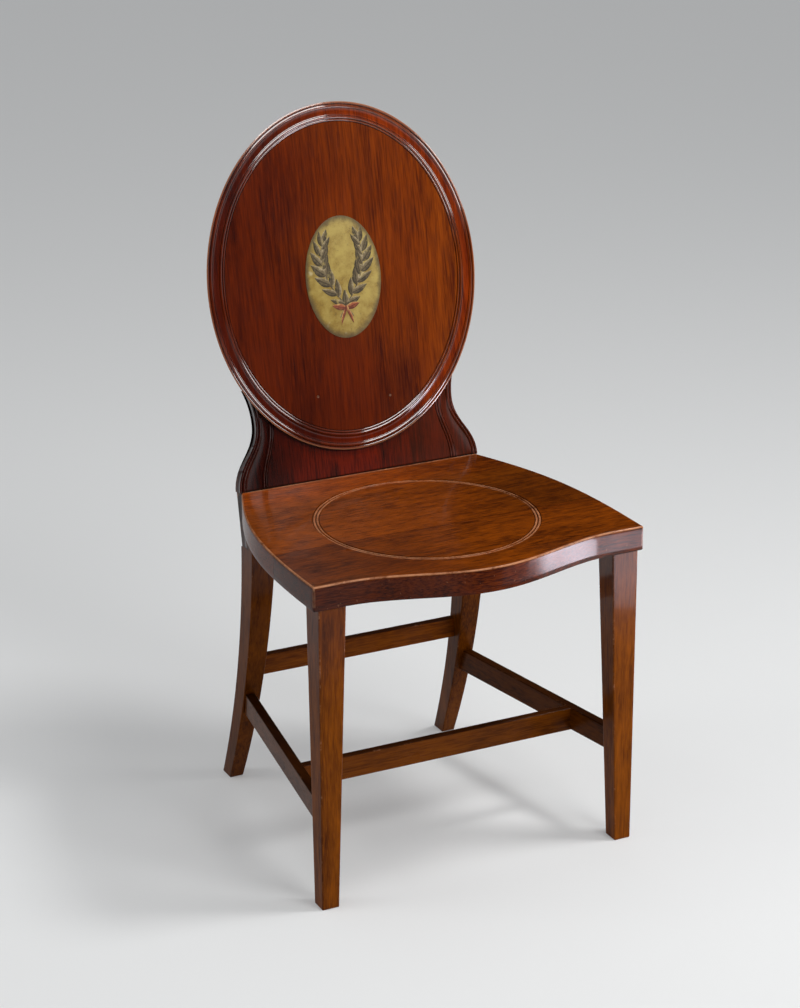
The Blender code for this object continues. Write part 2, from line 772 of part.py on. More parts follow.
    # Blocks and battens under the seat
    block_back = RAIL_FRONT - GAP
    batten_length = BATTEN_BACK - BATTEN_FRONT
    battens = []
    for side, word in SIDES:
        bm = bmesh.new()
        block_front, block_low = block_back - GLUE_BLOCK_SIZE, LEG_TOP - GLUE_BLOCK_SIZE
        triangle = [(block_back, LEG_TOP), (block_front, LEG_TOP), (block_back, block_low)]
        ends = [side * GLUE_BLOCK_PLACE + shift * GLUE_BLOCK_LENGTH / 2 for shift in (-1, 1)]
        add_loft(bm, [[(x, y, z) for y, z in triangle] for x in ends])
        new_object(f"glue_block_{word}", bm, frame, hidden_wood)

        bm = bmesh.new()
        add_bar(bm, batten_length / 2, BATTEN_WIDTH, BATTEN_HEIGHT, BATTEN_ARRIS)
        batten = new_object(f"seat_batten_{word}", bm, frame, hidden_wood)
        batten.location = (side * BATTEN_PLACE, BATTEN_FRONT + batten_length / 2, LEG_TOP - BATTEN_HEIGHT / 2)
        batten.rotation_euler.z = math.pi / 2
        battens.append(batten)

    head_level = LEG_TOP - BATTEN_HEIGHT + SCREW_SINK
    first, last = BATTEN_FRONT + BATTEN_SCREW_MARGIN, BATTEN_BACK - BATTEN_SCREW_MARGIN
    places = {}
    for side, word in SIDES:
        for number, depth in enumerate((first, (first + last) / 2, last), 1):
            places[f"batten_screw_{word}_{number}"] = Vector((side * BATTEN_PLACE, depth, head_level))
    profile, holes = screw_profile(BATTEN_SCREW_LENGTH), screw_profile(BATTEN_SCREW_LENGTH, GAP)
    bores = add_fasteners(places, 0.0, profile, holes, frame, iron)
    for target in (*battens, *boards.values()):
        cut(target, bores)

    # Back
    splat, housing = make_splat(back, splat_wood)
    panel = make_oval(back, panel_wood)
    cut(panel, housing)
    make_cartouche(back, paint)

    head_depth = BOARD_THICKNESS - SCREW_SINK
    head_level = -(SEAT_HEIGHT - level) / math.cos(RAKE)
    places = {}
    for side, word in SIDES:
        for number, place in enumerate(BACK_SCREW_PLACES, 1):
            places[f"back_screw_{word}_{number}"] = Vector((side * place, head_depth, head_level))
    profile, holes = screw_profile(BACK_SCREW_LENGTH), screw_profile(BACK_SCREW_LENGTH, GAP)
    bores = add_fasteners(places, math.pi / 2, profile, holes, back, iron)
    for target in (splat, rail, legs["rear_leg_left"], legs["rear_leg_right"]):
        cut(target, bores)

    pin_height = OVAL_LOW + PIN_EDGE_DISTANCE
    pin_length = OVAL_PROUD + BOARD_THICKNESS - SCREW_SINK - GAP
    places = {}
    for side, word in SIDES:
        height = pin_height - side * PIN_STAGGER
        places[f"panel_pin_{word}"] = Vector((side * PIN_SPACING / 2, -OVAL_PROUD, height))
    profile = [(PIN_RADIUS, 0.0), (PIN_RADIUS, pin_length)]
    holes = [(PIN_RADIUS + GAP, -OVERCUT), (PIN_RADIUS + GAP, pin_length + OVERCUT)]
    bores = add_fasteners(places, -math.pi / 2, profile, holes, back, pin_wood)
    for target in (panel, splat):
        cut(target, bores)


main()
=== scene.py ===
"""Hall chair in polished mahogany: the looks of its pieces, and a plain studio round it."""

import math

import bmesh
import bpy
from bpy.props import FloatProperty, FloatVectorProperty, PointerProperty
from mathutils import Matrix, Vector


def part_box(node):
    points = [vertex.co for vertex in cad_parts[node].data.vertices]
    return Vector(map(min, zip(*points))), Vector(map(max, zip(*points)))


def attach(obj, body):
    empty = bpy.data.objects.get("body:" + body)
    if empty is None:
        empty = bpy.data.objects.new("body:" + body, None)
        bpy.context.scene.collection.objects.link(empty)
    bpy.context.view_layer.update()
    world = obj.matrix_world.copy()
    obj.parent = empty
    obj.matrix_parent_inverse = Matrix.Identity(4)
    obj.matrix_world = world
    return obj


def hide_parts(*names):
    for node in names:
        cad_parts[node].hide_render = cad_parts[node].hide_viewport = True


bl_info = {
    "name": "Hall Chair",
    "version": (1, 0, 0),
    "blender": (4, 5, 0),
    "location": "View3D > Sidebar > Hall Chair",
    "description": "Models the polished wood, the painted oval and the studio of a hall chair",
    "category": "Object",
}

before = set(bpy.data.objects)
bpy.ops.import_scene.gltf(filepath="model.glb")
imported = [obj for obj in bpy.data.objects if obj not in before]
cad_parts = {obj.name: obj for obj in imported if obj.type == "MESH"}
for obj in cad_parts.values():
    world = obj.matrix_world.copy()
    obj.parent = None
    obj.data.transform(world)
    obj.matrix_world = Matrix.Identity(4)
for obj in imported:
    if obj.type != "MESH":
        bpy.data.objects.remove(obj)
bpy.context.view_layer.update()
SEAT_LOW, SEAT_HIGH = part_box("seat_front_board")
OVAL_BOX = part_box("oval_panel")
SPLAT_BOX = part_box("lower_splat")
FRONT_LEG_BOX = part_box("front_leg_right")
SIDE_BAR_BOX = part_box("side_stretcher_right")
CROSS_BAR_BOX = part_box("cross_stretcher")
REAR_BAR_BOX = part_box("rear_stretcher")

SIDES = ((-1, "left"), (1, "right"))
ALONG_X, ALONG_Y = (0.0, -math.pi / 2, 0.0), (math.pi / 2, 0.0, 0.0)
UPRIGHT_SIDES = (Vector((-1, 0, 0)), Vector((1, 0, 0)), Vector((0, -1, 0)), Vector((0, 1, 0)))
LYING_SIDES = (Vector((0, -1, 0)), Vector((0, 1, 0)), Vector((0, 0, -1)), Vector((0, 0, 1)))

# Steps of the curves
OVAL_SIDES = 192
RING_SIDES = 160
BEAD_STEPS = 8
OGEE_STEPS = 28
FLARE_STEPS = 8
LEG_LIFTS = 28
SEAT_COLUMNS, SEAT_ROWS = 96, 48
ROD_SIDES = 24
PAINTED_SIDES = 96
LEAF_COLUMNS, LEAF_ROWS = 8, 12
LEAF_PAIRS = 7

# Small measures of the joints and edges
GAP = 0.0003
OVERCUT = 0.004
LINE_INSET = 0.0012
FOOT_EASE = 0.0016
BACK_ARRIS = 0.0008
FIELD_SINK = 0.0021
OVAL_EDGE_RISE = 0.0010
OGEE_HANDLE = 0.038
TONGUE_HALF = 0.075
TONGUE_THICKNESS = 0.008
TONGUE_SINK = 0.0005
TONGUE_REACH = 0.115
DRILL_REACH = 0.04
SCREW_HEAD_RADIUS = 0.0049
SCREW_HEAD_DEPTH = 0.0028
SCREW_HEAD_RISE = 0.0042
SCREW_CLEAR = 0.006
SEAT_LIP = 0.007
SEAT_CORNER_EASE = 0.0022
SEAT_LOWER_EASE = 0.0012
RING_CREST = -0.0002
LEG_SETBACK = 0.001
BAR_FRONT_INSET = 0.0018
BAR_REAR_INSET = 0.003
BAR_EMBED = 0.016
BAR_SHORT = 0.004
SPLAT_ROOM_HALF = 0.3
SPLAT_ROOM_DEPTH = 0.1
SPLAT_ROOM_RISE = 0.05
PAINT_THICKNESS = 0.0003
PAINT_EDGE = 0.0006
PAINT_SWELL = 0.0001
BRUSH_RISE = 0.00045
BRUSH_THICKNESS = 0.00012
MERGE = 0.000001

# A shallow bead, as (share of its width, share of its rise)
LOW_BEAD = ((0.0, 0.0), (0.2, 0.455), (0.4, 0.91), (0.5, 1.0), (0.6, 0.91), (0.8, 0.455), (1.0, 0.0))
LOW_BEAD_RISE = 0.143
HOLLOW_SHARES = (0.0, 0.05, 0.1, 0.2, 0.35, 0.5, 0.65, 0.8, 0.9, 0.95, 1.0)

# Angles at which an edge or a groove starts to show, and over which it grows
BEND_START = 0.12
EDGE_BEND = 0.30
GROOVE_BEND = 0.60

# Wear of the seat's ring, which also stands for a painted highlight on its beads, and of its front corners
RING_RUB_AND_HIGHLIGHT = 0.72
CORNER_RUB = 0.6

# What a polished piece has where it isn't given
PLAIN_POLISH = {
    "figure": 0.4,
    "ribbon": 0.8,
    "streak": 1.0,
    "fine": 1.0,
    "short": 1.0,
    "pores": 0.48,
    "wax": 0.75,
    "rough": 0.30,
    "shine": 0.12,
    "coat": 0.35,
    "coat_rough": 0.07,
    "coat_index": 1.5,
}

# Studio lamps: name, place, aim, size and power
LAMPS = (
    ("key", (1.35, -0.7, 2.95), (0.0, 0.0, 0.45), (0.6, 0.6), 37.0),
    ("front", (0.6, -2.13, 2.52), (0.0, 0.0, 0.55), (1.2, 0.9), 33.0),
    ("right", (2.36, -1.46, 1.54), (0.0, 0.0, 0.60), (0.80, 0.75), 13.0),
    ("left", (-2.4, 0.6, 2.2), (0.0, 0.05, 0.6), (1.1, 1.1), 14.0),
    ("low_right", (1.00, -0.70, 0.12), (0.12, -0.22, 0.42), (0.40, 0.20), 0.50),
    ("low_middle", (0.80, -0.80, 0.13), (0.34, 0.01, 0.49), (0.74, 0.22), 0.29),
)
LAMP_TINT, LOW_LAMP_TINT = (1.0, 1.0, 1.0), (0.94, 0.87, 1.0)
LOW_LAMP_SPREAD = math.radians(70.0)
FLOOR_SIZE = 200.0
FLOOR_GLOW = 0.20

# Camera, with depths counted from the seat's front corners
CAMERA_EYE = Vector((-1.5720, -2.8978, 1.7301))
CAMERA_AIM = Vector((-0.0425, 0.15, 0.4783))
CAMERA_LENS = 99.67
CAMERA_ROLL = math.radians(-0.15)


def length(name, description, default):
    return FloatProperty(name=name, description=description, default=default, unit="LENGTH", precision=4)


def angle(name, description, degrees):
    return FloatProperty(name=name, description=description, default=math.radians(degrees), subtype="ANGLE")


def colour(name, description, default):
    return FloatVectorProperty(
        name=name, description=description, default=default, subtype="COLOR", size=3, min=0.0, max=1.0
    )


class HallChairSizes(bpy.types.PropertyGroup):
    """Sizes of the chair's pieces, the same as those of its solid parts"""

    seat_height: length("Seat height", "Height of the seat's top", SEAT_HIGH.z)
    seat_thickness: length("Seat thickness", "Thickness of the seat", SEAT_HIGH.z - SEAT_LOW.z)
    seat_front: length("Seat front", "Width over the seat's front corners", 0.47498)
    seat_back: length("Seat back", "Width of the seat at the splat", 0.359)
    seat_depth: length("Seat depth", "Depth from the front corners to the splat", 0.353)
    seat_bow: length("Front bow", "How far the front swells before its corners", 0.0405)
    serpentine: length("Serpentine", "Width of the curved part of the front", 0.390)
    side_front_handle: length("Side front handle", "Reach of the side's curve from the front corner", 0.165)
    side_back_handle: length("Side back handle", "Reach of the side's curve from the back corner", 0.125)
    side_front_flare: angle("Side flare", "How the side leaves the front corner", 1.0)
    side_back_angle: angle("Side back angle", "How the side meets the splat", 23.0)
    seat_joint: length("Seat joint", "Depth of the joint between the seat's two boards", 0.124)
    seat_round: length("Seat edge", "Rounding of the seat's top edge", 0.0026)
    ring_depth: length("Ring place", "Depth of the middle of the seat's ring", 0.156)
    ring_radius: length("Ring radius", "Radius of the seat's ring", 0.146)
    ring_bead: length("Ring bead", "Width of each bead of the ring", 0.0034)
    ring_quirk: length("Ring quirk", "Width of the grooves beside the ring's beads", 0.0009)
    ring_sink: length("Ring sink", "Depth of the grooves beside the ring's beads", 0.0016)
    front_leg_inset: length("Front leg inset", "From the seat's corner to the leg's outer face", 0.0072)
    front_leg_top: length("Front leg top", "Size of a front leg under the seat", 0.038)
    front_leg_foot: length("Front leg foot", "Size of a front leg at the floor", 0.024)
    rear_leg_reach: length("Rear leg reach", "From the splat's face to the front of a rear leg", 0.033)
    rear_leg_sweep: length("Rear leg sweep", "How far a rear leg sweeps back", 0.0965)
    rear_leg_top: length("Rear leg top", "Width of a rear leg under the seat", 0.0365)
    rear_leg_foot: length("Rear leg foot", "Width of a rear leg at the floor", 0.0200)
    rear_leg_top_depth: length("Rear leg top depth", "Depth of a rear leg under the seat", 0.0385)
    rear_leg_foot_depth: length("Rear leg foot depth", "Depth of a rear leg at the floor", 0.0265)
    arris: length("Arris", "Rounding of the edges of legs and stretchers", 0.0013)
    bar_thickness: length("Side stretcher", "Thickness of the side stretchers", 0.0135)
    rake: angle("Rake", "How far the back leans", 11.2)
    board: length("Back board", "Thickness of the back's boards", 0.0165)
    oval_width: length("Oval width", "Width of the oval", OVAL_BOX[1].x - OVAL_BOX[0].x)
    oval_height: length("Oval height", "Height of the oval along its slope", 0.4718)
    oval_centre: length("Oval centre", "Middle of the oval above the seat, along the slope", 0.271)
    oval_proud: length("Oval proud", "How far the oval's field stands before the splat's face", 0.0015)
    oval_bevel: length("Oval bevel", "Bevel behind the oval's edge", 0.0165)
    splat_base: length("Splat base", "Width of the splat at the seat", SPLAT_BOX[1].x - SPLAT_BOX[0].x)
    splat_waist: length("Splat waist", "Width of the splat at its waist", 0.297)
    splat_top: length("Splat top", "Width of the splat behind the oval", 0.318)
    waist_height: length("Waist height", "Height of the splat's waist", 0.087)
    splat_height: length("Splat height", "Height of the splat behind the oval", 0.135)
    splat_foot: length("Splat foot", "How far the splat runs down behind the seat", 0.075)
    splat_bevel: length("Splat bevel", "Bevel behind the splat's waist", 0.010)
    base_hollow: length("Base hollow", "Width of the splat's hollow at the seat", 0.0247)
    waist_hollow: length("Waist hollow", "Width of the splat's hollow at its waist", 0.0092)
    edge_bead: length("Edge bead", "Width of the bead on the edge", 0.0030)
    shoulder_bead: length("Shoulder bead", "Width of the bead beside it", 0.0040)
    hollow: length("Hollow", "Width of the oval's hollow", 0.0092)
    inner_bead: length("Inner bead", "Width of the bead inside the hollow", 0.0034)
    fine_bead: length("Fine bead", "Width of the last fine bead", 0.0022)
    quirk: length("Quirk", "Width of the grooves between beads", 0.0011)
    painted_width: length("Painted oval width", "Width of the painted oval", 0.112)
    painted_height: length("Painted oval height", "Height of the painted oval", 0.166)


class HallChairColours(bpy.types.PropertyGroup):
    """Colours of the wood, the paint and the studio"""

    panel_dark: colour("Panel dark", "Dark grain of the oval", (0.063, 0.0070, 0.0006))
    panel_light: colour("Panel light", "Light grain of the oval", (0.268, 0.0445, 0.0014))
    splat_dark: colour("Splat dark", "Dark grain of the splat", (0.026, 0.0022, 0.0005))
    splat_light: colour("Splat light", "Light grain of the splat", (0.200, 0.0130, 0.0010))
    seat_dark: colour("Seat dark", "Dark grain of the seat", (0.060, 0.0096, 0.0004))
    seat_light: colour("Seat light", "Light grain of the seat", (0.240, 0.0490, 0.0012))
    leg_dark: colour("Leg dark", "Dark grain of the legs", (0.072, 0.0146, 0.0006))
    leg_light: colour("Leg light", "Light grain of the legs", (0.292, 0.0740, 0.0020))
    worn: colour("Worn edge", "Wood where the polish is worn off", (0.490, 0.2150, 0.1050))
    wax: colour("Old wax", "Dark wax in the grooves", (0.012, 0.0050, 0.0025))
    plain_dark: colour("Plain wood dark", "Dark grain of the unpolished wood", (0.200, 0.1100, 0.0480))
    plain_light: colour("Plain wood light", "Light grain of the unpolished wood", (0.400, 0.2600, 0.1300))
    paint_ground: colour("Painted ground", "Ground of the painted oval", (0.440, 0.3250, 0.0820))
    paint_shade: colour("Painted shade", "Aged parts of the painted ground", (0.280, 0.1700, 0.0180))
    floor: colour("Floor", "Floor and backdrop", (0.600, 0.6030, 0.6000))


def sizes():
    return bpy.context.scene.hall_chair_sizes


def colours():
    return bpy.context.scene.hall_chair_colours


# Working by hand


def clear_selection():
    if bpy.context.mode != "OBJECT":
        bpy.ops.object.mode_set(mode="OBJECT")
    bpy.ops.object.select_all(action="DESELECT")


def adopt(name):
    """Names the piece that was just added."""
    piece = bpy.context.object
    piece.name = name
    piece.data.name = name
    return piece


def edit():
    bpy.ops.object.mode_set(mode="EDIT")


def leave():
    bpy.ops.object.mode_set(mode="OBJECT")


def pick(kind, test):
    """Selects the points, edges or faces that pass a test, in edit mode."""
    piece = bpy.context.object
    bpy.ops.mesh.select_mode(type=kind)
    bpy.ops.mesh.select_all(action="DESELECT")
    shape = bmesh.from_edit_mesh(piece.data)
    found = [e for e in {"VERT": shape.verts, "EDGE": shape.edges, "FACE": shape.faces}[kind] if test(e)]
    if not found:
        raise RuntimeError(f"{piece.name}: nothing to select")
    for element in found:
        element.select_set(True)
    shape.select_flush_mode()
    bmesh.update_edit_mesh(piece.data)


def pick_all():
    bpy.ops.mesh.select_all(action="SELECT")


def draw_out(x, y, z):
    """Extrudes what is selected, in edit mode."""
    bpy.ops.mesh.extrude_region_move(TRANSFORM_OT_translate={"value": (x, y, z)})


def turn_out():
    """Merges doubled points and turns all faces outwards, in edit mode."""
    pick_all()
    bpy.ops.mesh.remove_doubles(threshold=MERGE)
    bpy.ops.mesh.normals_make_consistent(inside=False)


def only(piece):
    clear_selection()
    piece.select_set(True)
    bpy.context.view_layer.objects.active = piece


def apply_place(piece):
    only(piece)
    bpy.ops.object.transform_apply(location=True, rotation=True, scale=True)


def front_line():
    """World depth of the line through the seat's front corners."""
    return SEAT_LOW.y + sizes().seat_bow


def back_foot():
    """World place of the middle of the seat's back edge, where the back starts to lean."""
    s = sizes()
    return Vector((0.0, front_line() + s.seat_depth, s.seat_height))


def leg_top():
    """Height of the legs' tops, under the seat."""
    s = sizes()
    return s.seat_height - s.seat_thickness - GAP


def stand(piece):
    """Moves a piece from the chair's own depth, counted from the front corners, to its world place."""
    piece.location.y = front_line()
    apply_place(piece)


def lean(piece):
    """Leans an upright piece of the back to its rake, from the seat's back edge."""
    piece.location = back_foot()
    piece.rotation_euler = (-sizes().rake, 0.0, 0.0)
    apply_place(piece)


def carve(piece, tool, operation="DIFFERENCE"):
    """Cuts a piece with a tool, or joins it, and takes the tool away."""
    only(piece)
    modifier = piece.modifiers.new("carve", "BOOLEAN")
    modifier.operation = operation
    modifier.object = tool
    modifier.solver = "EXACT"
    bpy.ops.object.modifier_apply(modifier=modifier.name)
    bpy.data.objects.remove(tool, do_unlink=True)


def block(name, low, high):
    """A plain block for carving."""
    clear_selection()
    low, high = Vector(low), Vector(high)
    bpy.ops.mesh.primitive_cube_add(size=1.0, location=(low + high) / 2)
    tool = adopt(name)
    tool.scale = high - low
    apply_place(tool)
    return tool


def rod(name, radius, start, end):
    """A round rod along Y for carving."""
    clear_selection()
    middle = (Vector(start) + Vector(end)) / 2
    bpy.ops.mesh.primitive_cylinder_add(
        vertices=ROD_SIDES,
        radius=radius,
        depth=(Vector(end) - Vector(start)).length,
        location=middle,
        rotation=(math.pi / 2, 0, 0),
    )
    tool = adopt(name)
    apply_place(tool)
    return tool


def mirrored(piece, name):
    """A copy of a piece on the other side of the chair."""
    only(piece)
    bpy.ops.object.duplicate(linked=False)
    copy = adopt(name)
    copy.scale.x = -1.0
    apply_place(copy)
    edit()
    turn_out()
    leave()
    return copy


def mark_bends(piece, rubbed=None):
    """Stores where the surface bends outwards and inwards, for wear on edges and wax in grooves.

    Where rubbed gives a number for a place, that is the wear there.
    """
    shape = bmesh.new()
    shape.from_mesh(piece.data)
    outer = shape.verts.layers.float.new("edge")
    inner = shape.verts.layers.float.new("groove")
    for vert in shape.verts:
        bends = [e.calc_face_angle_signed(0.0) for e in vert.link_edges if len(e.link_faces) == 2]
        if bends:
            vert[inner] = min(max((-min(bends) - BEND_START) / GROOVE_BEND, 0.0), 1.0)
            vert[outer] = min(max((max(bends) - BEND_START) / EDGE_BEND, 0.0), 1.0)
        wear = rubbed(vert.co) if rubbed else None
        if wear is not None:
            vert[outer] = wear
    shape.to_mesh(piece.data)
    shape.free()


def line_edges(faces):
    """Draws a line inside the edges of each group of faces, in edit mode, so that wear stays at the edges."""
    for test in faces:
        pick("FACE", test)
        bpy.ops.mesh.inset(thickness=LINE_INSET, depth=0.0)


def polish(piece, material, slot, *nodes, smooth=40.0):
    """Shades a finished piece, gives it its wood and lets it stand for its solid parts."""
    only(piece)
    bpy.ops.object.shade_smooth_by_angle(angle=math.radians(smooth))
    if "edge" not in piece.data.attributes:
        mark_bends(piece)
    piece.data.materials.clear()
    piece.data.materials.append(material)
    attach(piece, "root")
    if nodes:
        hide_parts(*nodes)


# Nodes


def add(tree, kind, inputs=None, **settings):
    """Adds a node, sets or links its inputs and returns it."""
    node = tree.nodes.new(kind)
    for name, value in settings.items():
        setattr(node, name, value)
    for key, value in (inputs or {}).items():
        if isinstance(value, bpy.types.NodeSocket):
            tree.links.new(value, node.inputs[key])
        else:
            node.inputs[key].default_value = value
    return node


def sums(tree, operation, *values, clamp=False):
    """One step of arithmetic on values or sockets."""
    node = add(tree, "ShaderNodeMath", dict(enumerate(values)), operation=operation, use_clamp=clamp)
    return node.outputs[0]


def scaled(tree, vector, scale):
    return add(tree, "ShaderNodeVectorMath", {0: vector, 1: scale}, operation="MULTIPLY").outputs[0]


def radius_of(tree, vector):
    return add(tree, "ShaderNodeVectorMath", {0: vector}, operation="LENGTH").outputs["Value"]


def stretched(tree, vector, across, along):
    """Coordinates for a pattern drawn out along Z."""
    return scaled(tree, vector, (across, across, along))


def noise(tree, vector, detail=2.0, rough=0.5, warp=0.0, scale=1.0):
    inputs = {"Vector": vector, "Scale": scale, "Detail": detail, "Roughness": rough, "Distortion": warp}
    return add(tree, "ShaderNodeTexNoise", inputs).outputs[0]


def ramp(tree, value, low, high, to_low=0.0, to_high=1.0):
    """A soft step of a value from one level to another."""
    inputs = {"Value": value, "From Min": low, "From Max": high, "To Min": to_low, "To Max": to_high}
    return add(tree, "ShaderNodeMapRange", inputs, interpolation_type="SMOOTHSTEP").outputs[0]


def blend(tree, factor, first, second, kind="MIX"):
    """Two colours mixed by a factor."""
    node = add(tree, "ShaderNodeMix", {0: factor}, data_type="RGBA", blend_type=kind)
    for index, value in ((6, first), (7, second)):
        if isinstance(value, bpy.types.NodeSocket):
            tree.links.new(value, node.inputs[index])
        else:
            node.inputs[index].default_value = (*value, 1.0)
    return node.outputs[2]


def tinted(tree, base, tint):
    """A colour multiplied by a tint."""
    return blend(tree, 1.0, base, tint, "MULTIPLY")


def new_group(name, inputs, outputs):
    """An empty shader group with its sockets, and its two ends."""
    group = bpy.data.node_groups.new(name, "ShaderNodeTree")
    for socket, kind, default in inputs:
        made = group.interface.new_socket(socket, in_out="INPUT", socket_type=kind)
        if default is not None:
            made.default_value = default
    for socket, kind in outputs:
        group.interface.new_socket(socket, in_out="OUTPUT", socket_type=kind)
    return group, add(group, "NodeGroupInput"), add(group, "NodeGroupOutput")


def mahogany_grain():
    """Grain along Z: broad ribbons, fine streaks, mottled figure and open pores."""
    name = "Mahogany grain"
    if name in bpy.data.node_groups:
        return bpy.data.node_groups[name]
    tree, given, made = new_group(
        name,
        [
            ("Vector", "NodeSocketVector", None),
            ("Dark", "NodeSocketColor", None),
            ("Light", "NodeSocketColor", None),
            ("Ribbon", "NodeSocketFloat", 1.0),
            ("Streak", "NodeSocketFloat", 1.0),
            ("Figure", "NodeSocketFloat", 0.6),
            ("Pores", "NodeSocketFloat", 0.48),
        ],
        [("Colour", "NodeSocketColor"), ("Pores", "NodeSocketFloat"), ("Height", "NodeSocketFloat")],
    )
    vector = given.outputs["Vector"]
    sway = noise(tree, stretched(tree, vector, 5.0, 3.0), detail=1.0)
    swayed = scaled(tree, sway, (0.012, 0.012, 0.0))
    vector = add(tree, "ShaderNodeVectorMath", {0: vector, 1: swayed}, operation="ADD").outputs[0]
    ribbon = noise(tree, stretched(tree, vector, 28.0, 2.0), detail=3.0, rough=0.6, warp=0.2)
    flame = noise(tree, stretched(tree, vector, 120.0, 13.0), detail=2.0, rough=0.55)
    streak = noise(tree, stretched(tree, vector, 400.0, 24.0), detail=2.0, rough=0.6)
    figure = noise(tree, stretched(tree, vector, 24.0, 13.0), detail=2.0, rough=0.6, warp=0.7)
    fleck = noise(tree, stretched(tree, vector, 640.0, 62.0), detail=1.0)
    tone = 0.5
    for part, share, gain in (
        (ribbon, "Ribbon", 2.0),
        (flame, "Ribbon", 1.1),
        (streak, "Streak", 1.3),
        (figure, "Figure", 1.5),
    ):
        shift = sums(tree, "MULTIPLY", sums(tree, "SUBTRACT", part, 0.5), given.outputs[share])
        tone = sums(tree, "MULTIPLY_ADD", shift, gain, tone, clamp=True)
    pores = ramp(tree, fleck, 0.54, 0.68)
    glints = ramp(tree, fleck, 0.46, 0.32)
    body = blend(tree, tone, given.outputs["Dark"], given.outputs["Light"])
    stained = sums(tree, "MULTIPLY", pores, given.outputs["Pores"])
    shaded = blend(tree, stained, body, (0.42, 0.36, 0.40), "MULTIPLY")
    shaded = blend(tree, sums(tree, "MULTIPLY", glints, 0.40), shaded, given.outputs["Light"])
    tree.links.new(shaded, made.inputs["Colour"])
    tree.links.new(pores, made.inputs["Pores"])
    height = sums(tree, "SUBTRACT", sums(tree, "MULTIPLY", streak, 0.35), pores)
    tree.links.new(height, made.inputs["Height"])
    return tree


def worn_edges():
    """Edges rubbed to paler wood, and dark wax left in the grooves."""
    name = "Worn edges"
    if name in bpy.data.node_groups:
        return bpy.data.node_groups[name]
    tree, given, made = new_group(
        name,
        [
            ("Vector", "NodeSocketVector", None),
            ("Colour", "NodeSocketColor", None),
            ("Worn", "NodeSocketColor", None),
            ("Wax", "NodeSocketColor", None),
            ("Edge", "NodeSocketFloat", 0.0),
            ("Groove", "NodeSocketFloat", 0.0),
            ("Wear", "NodeSocketFloat", 0.4),
        ],
        [("Colour", "NodeSocketColor"), ("Mask", "NodeSocketFloat")],
    )
    vector = given.outputs["Vector"]
    rubbed = noise(tree, vector, detail=3.0, rough=0.6, scale=38.0)
    nicked = noise(tree, vector, detail=2.0, rough=0.7, scale=240.0)
    chance = sums(tree, "MULTIPLY_ADD", nicked, 0.45, sums(tree, "MULTIPLY", rubbed, 0.75))
    chance = sums(tree, "ADD", chance, sums(tree, "SUBTRACT", given.outputs["Wear"], 0.5))
    arris = ramp(tree, given.outputs["Edge"], 0.35, 1.0)
    mask = sums(tree, "MULTIPLY", ramp(tree, chance, 0.40, 0.78), arris)
    waxed = blend(tree, given.outputs["Groove"], given.outputs["Colour"], given.outputs["Wax"])
    rubbed_off = blend(tree, mask, waxed, given.outputs["Worn"])
    tree.links.new(rubbed_off, made.inputs["Colour"])
    tree.links.new(mask, made.inputs["Mask"])
    return tree


def new_material(name):
    material = bpy.data.materials.new(name)
    material.use_nodes = True
    tree = material.node_tree
    return material, tree, tree.nodes["Principled BSDF"]


def placed(tree, turn=(0.0, 0.0, 0.0), shift=(0.0, 0.0, 0.0), scale=(1.0, 1.0, 1.0)):
    """The piece's own coordinates, turned so that the grain runs along Z."""
    coordinates = add(tree, "ShaderNodeTexCoord").outputs["Object"]
    inputs = {"Vector": coordinates, "Rotation": turn, "Location": shift, "Scale": scale}
    return add(tree, "ShaderNodeMapping", inputs).outputs[0]


def attribute(tree, name):
    return add(tree, "ShaderNodeAttribute", attribute_name=name).outputs["Fac"]


def parts_of(tree, vector):
    return add(tree, "ShaderNodeSeparateXYZ", {0: vector}).outputs


def bump(tree, shader, height, distance, strength=1.0):
    inputs = {"Height": height, "Distance": distance, "Strength": strength}
    made = add(tree, "ShaderNodeBump", inputs)
    tree.links.new(made.outputs[0], shader.inputs["Normal"])


def mahogany(name, turn, dark, light, wear, toned=None, glossed=None, **finish):
    """Polished mahogany with worn edges; toned may change its colour over the piece, glossed its polish."""
    look = {**PLAIN_POLISH, **finish}
    material, tree, shader = new_material(name)
    c = colours()
    vector = placed(tree, turn)
    grain = add(
        tree,
        "ShaderNodeGroup",
        {
            "Vector": stretched(tree, vector, look["fine"], look["short"]),
            "Dark": (*dark, 1.0),
            "Light": (*light, 1.0),
            "Ribbon": look["ribbon"],
            "Streak": look["streak"],
            "Figure": look["figure"],
            "Pores": look["pores"],
        },
        node_tree=mahogany_grain(),
    )
    base = grain.outputs["Colour"]
    if toned:
        base = toned(tree, base)
    groove = ramp(tree, attribute(tree, "groove"), 0.25, 1.0, 0.0, look["wax"])
    edges = add(
        tree,
        "ShaderNodeGroup",
        {
            "Vector": vector,
            "Colour": base,
            "Worn": (*c.worn, 1.0),
            "Wax": (*c.wax, 1.0),
            "Edge": attribute(tree, "edge"),
            "Groove": groove,
            "Wear": wear,
        },
        node_tree=worn_edges(),
    )
    tree.links.new(edges.outputs["Colour"], shader.inputs["Base Color"])
    smear = noise(tree, vector, detail=3.0, scale=14.0)
    gloss = sums(tree, "MULTIPLY_ADD", smear, 0.10, look["rough"] - 0.05)
    gloss = sums(tree, "MULTIPLY_ADD", edges.outputs["Mask"], 0.15, gloss)
    gloss = sums(tree, "MULTIPLY_ADD", grain.outputs["Pores"], 0.08, gloss)
    tree.links.new(gloss, shader.inputs["Roughness"])
    shader.inputs["Specular IOR Level"].default_value = look["shine"]
    shader.inputs["Coat Weight"].default_value = look["coat"]
    shader.inputs["Coat Roughness"].default_value = look["coat_rough"]
    shader.inputs["Coat IOR"].default_value = look["coat_index"]
    if glossed:
        tree.links.new(glossed(tree), shader.inputs["Coat Weight"])
    bump(tree, shader, grain.outputs["Height"], 0.00006, 0.6)
    return material


# Moulded border


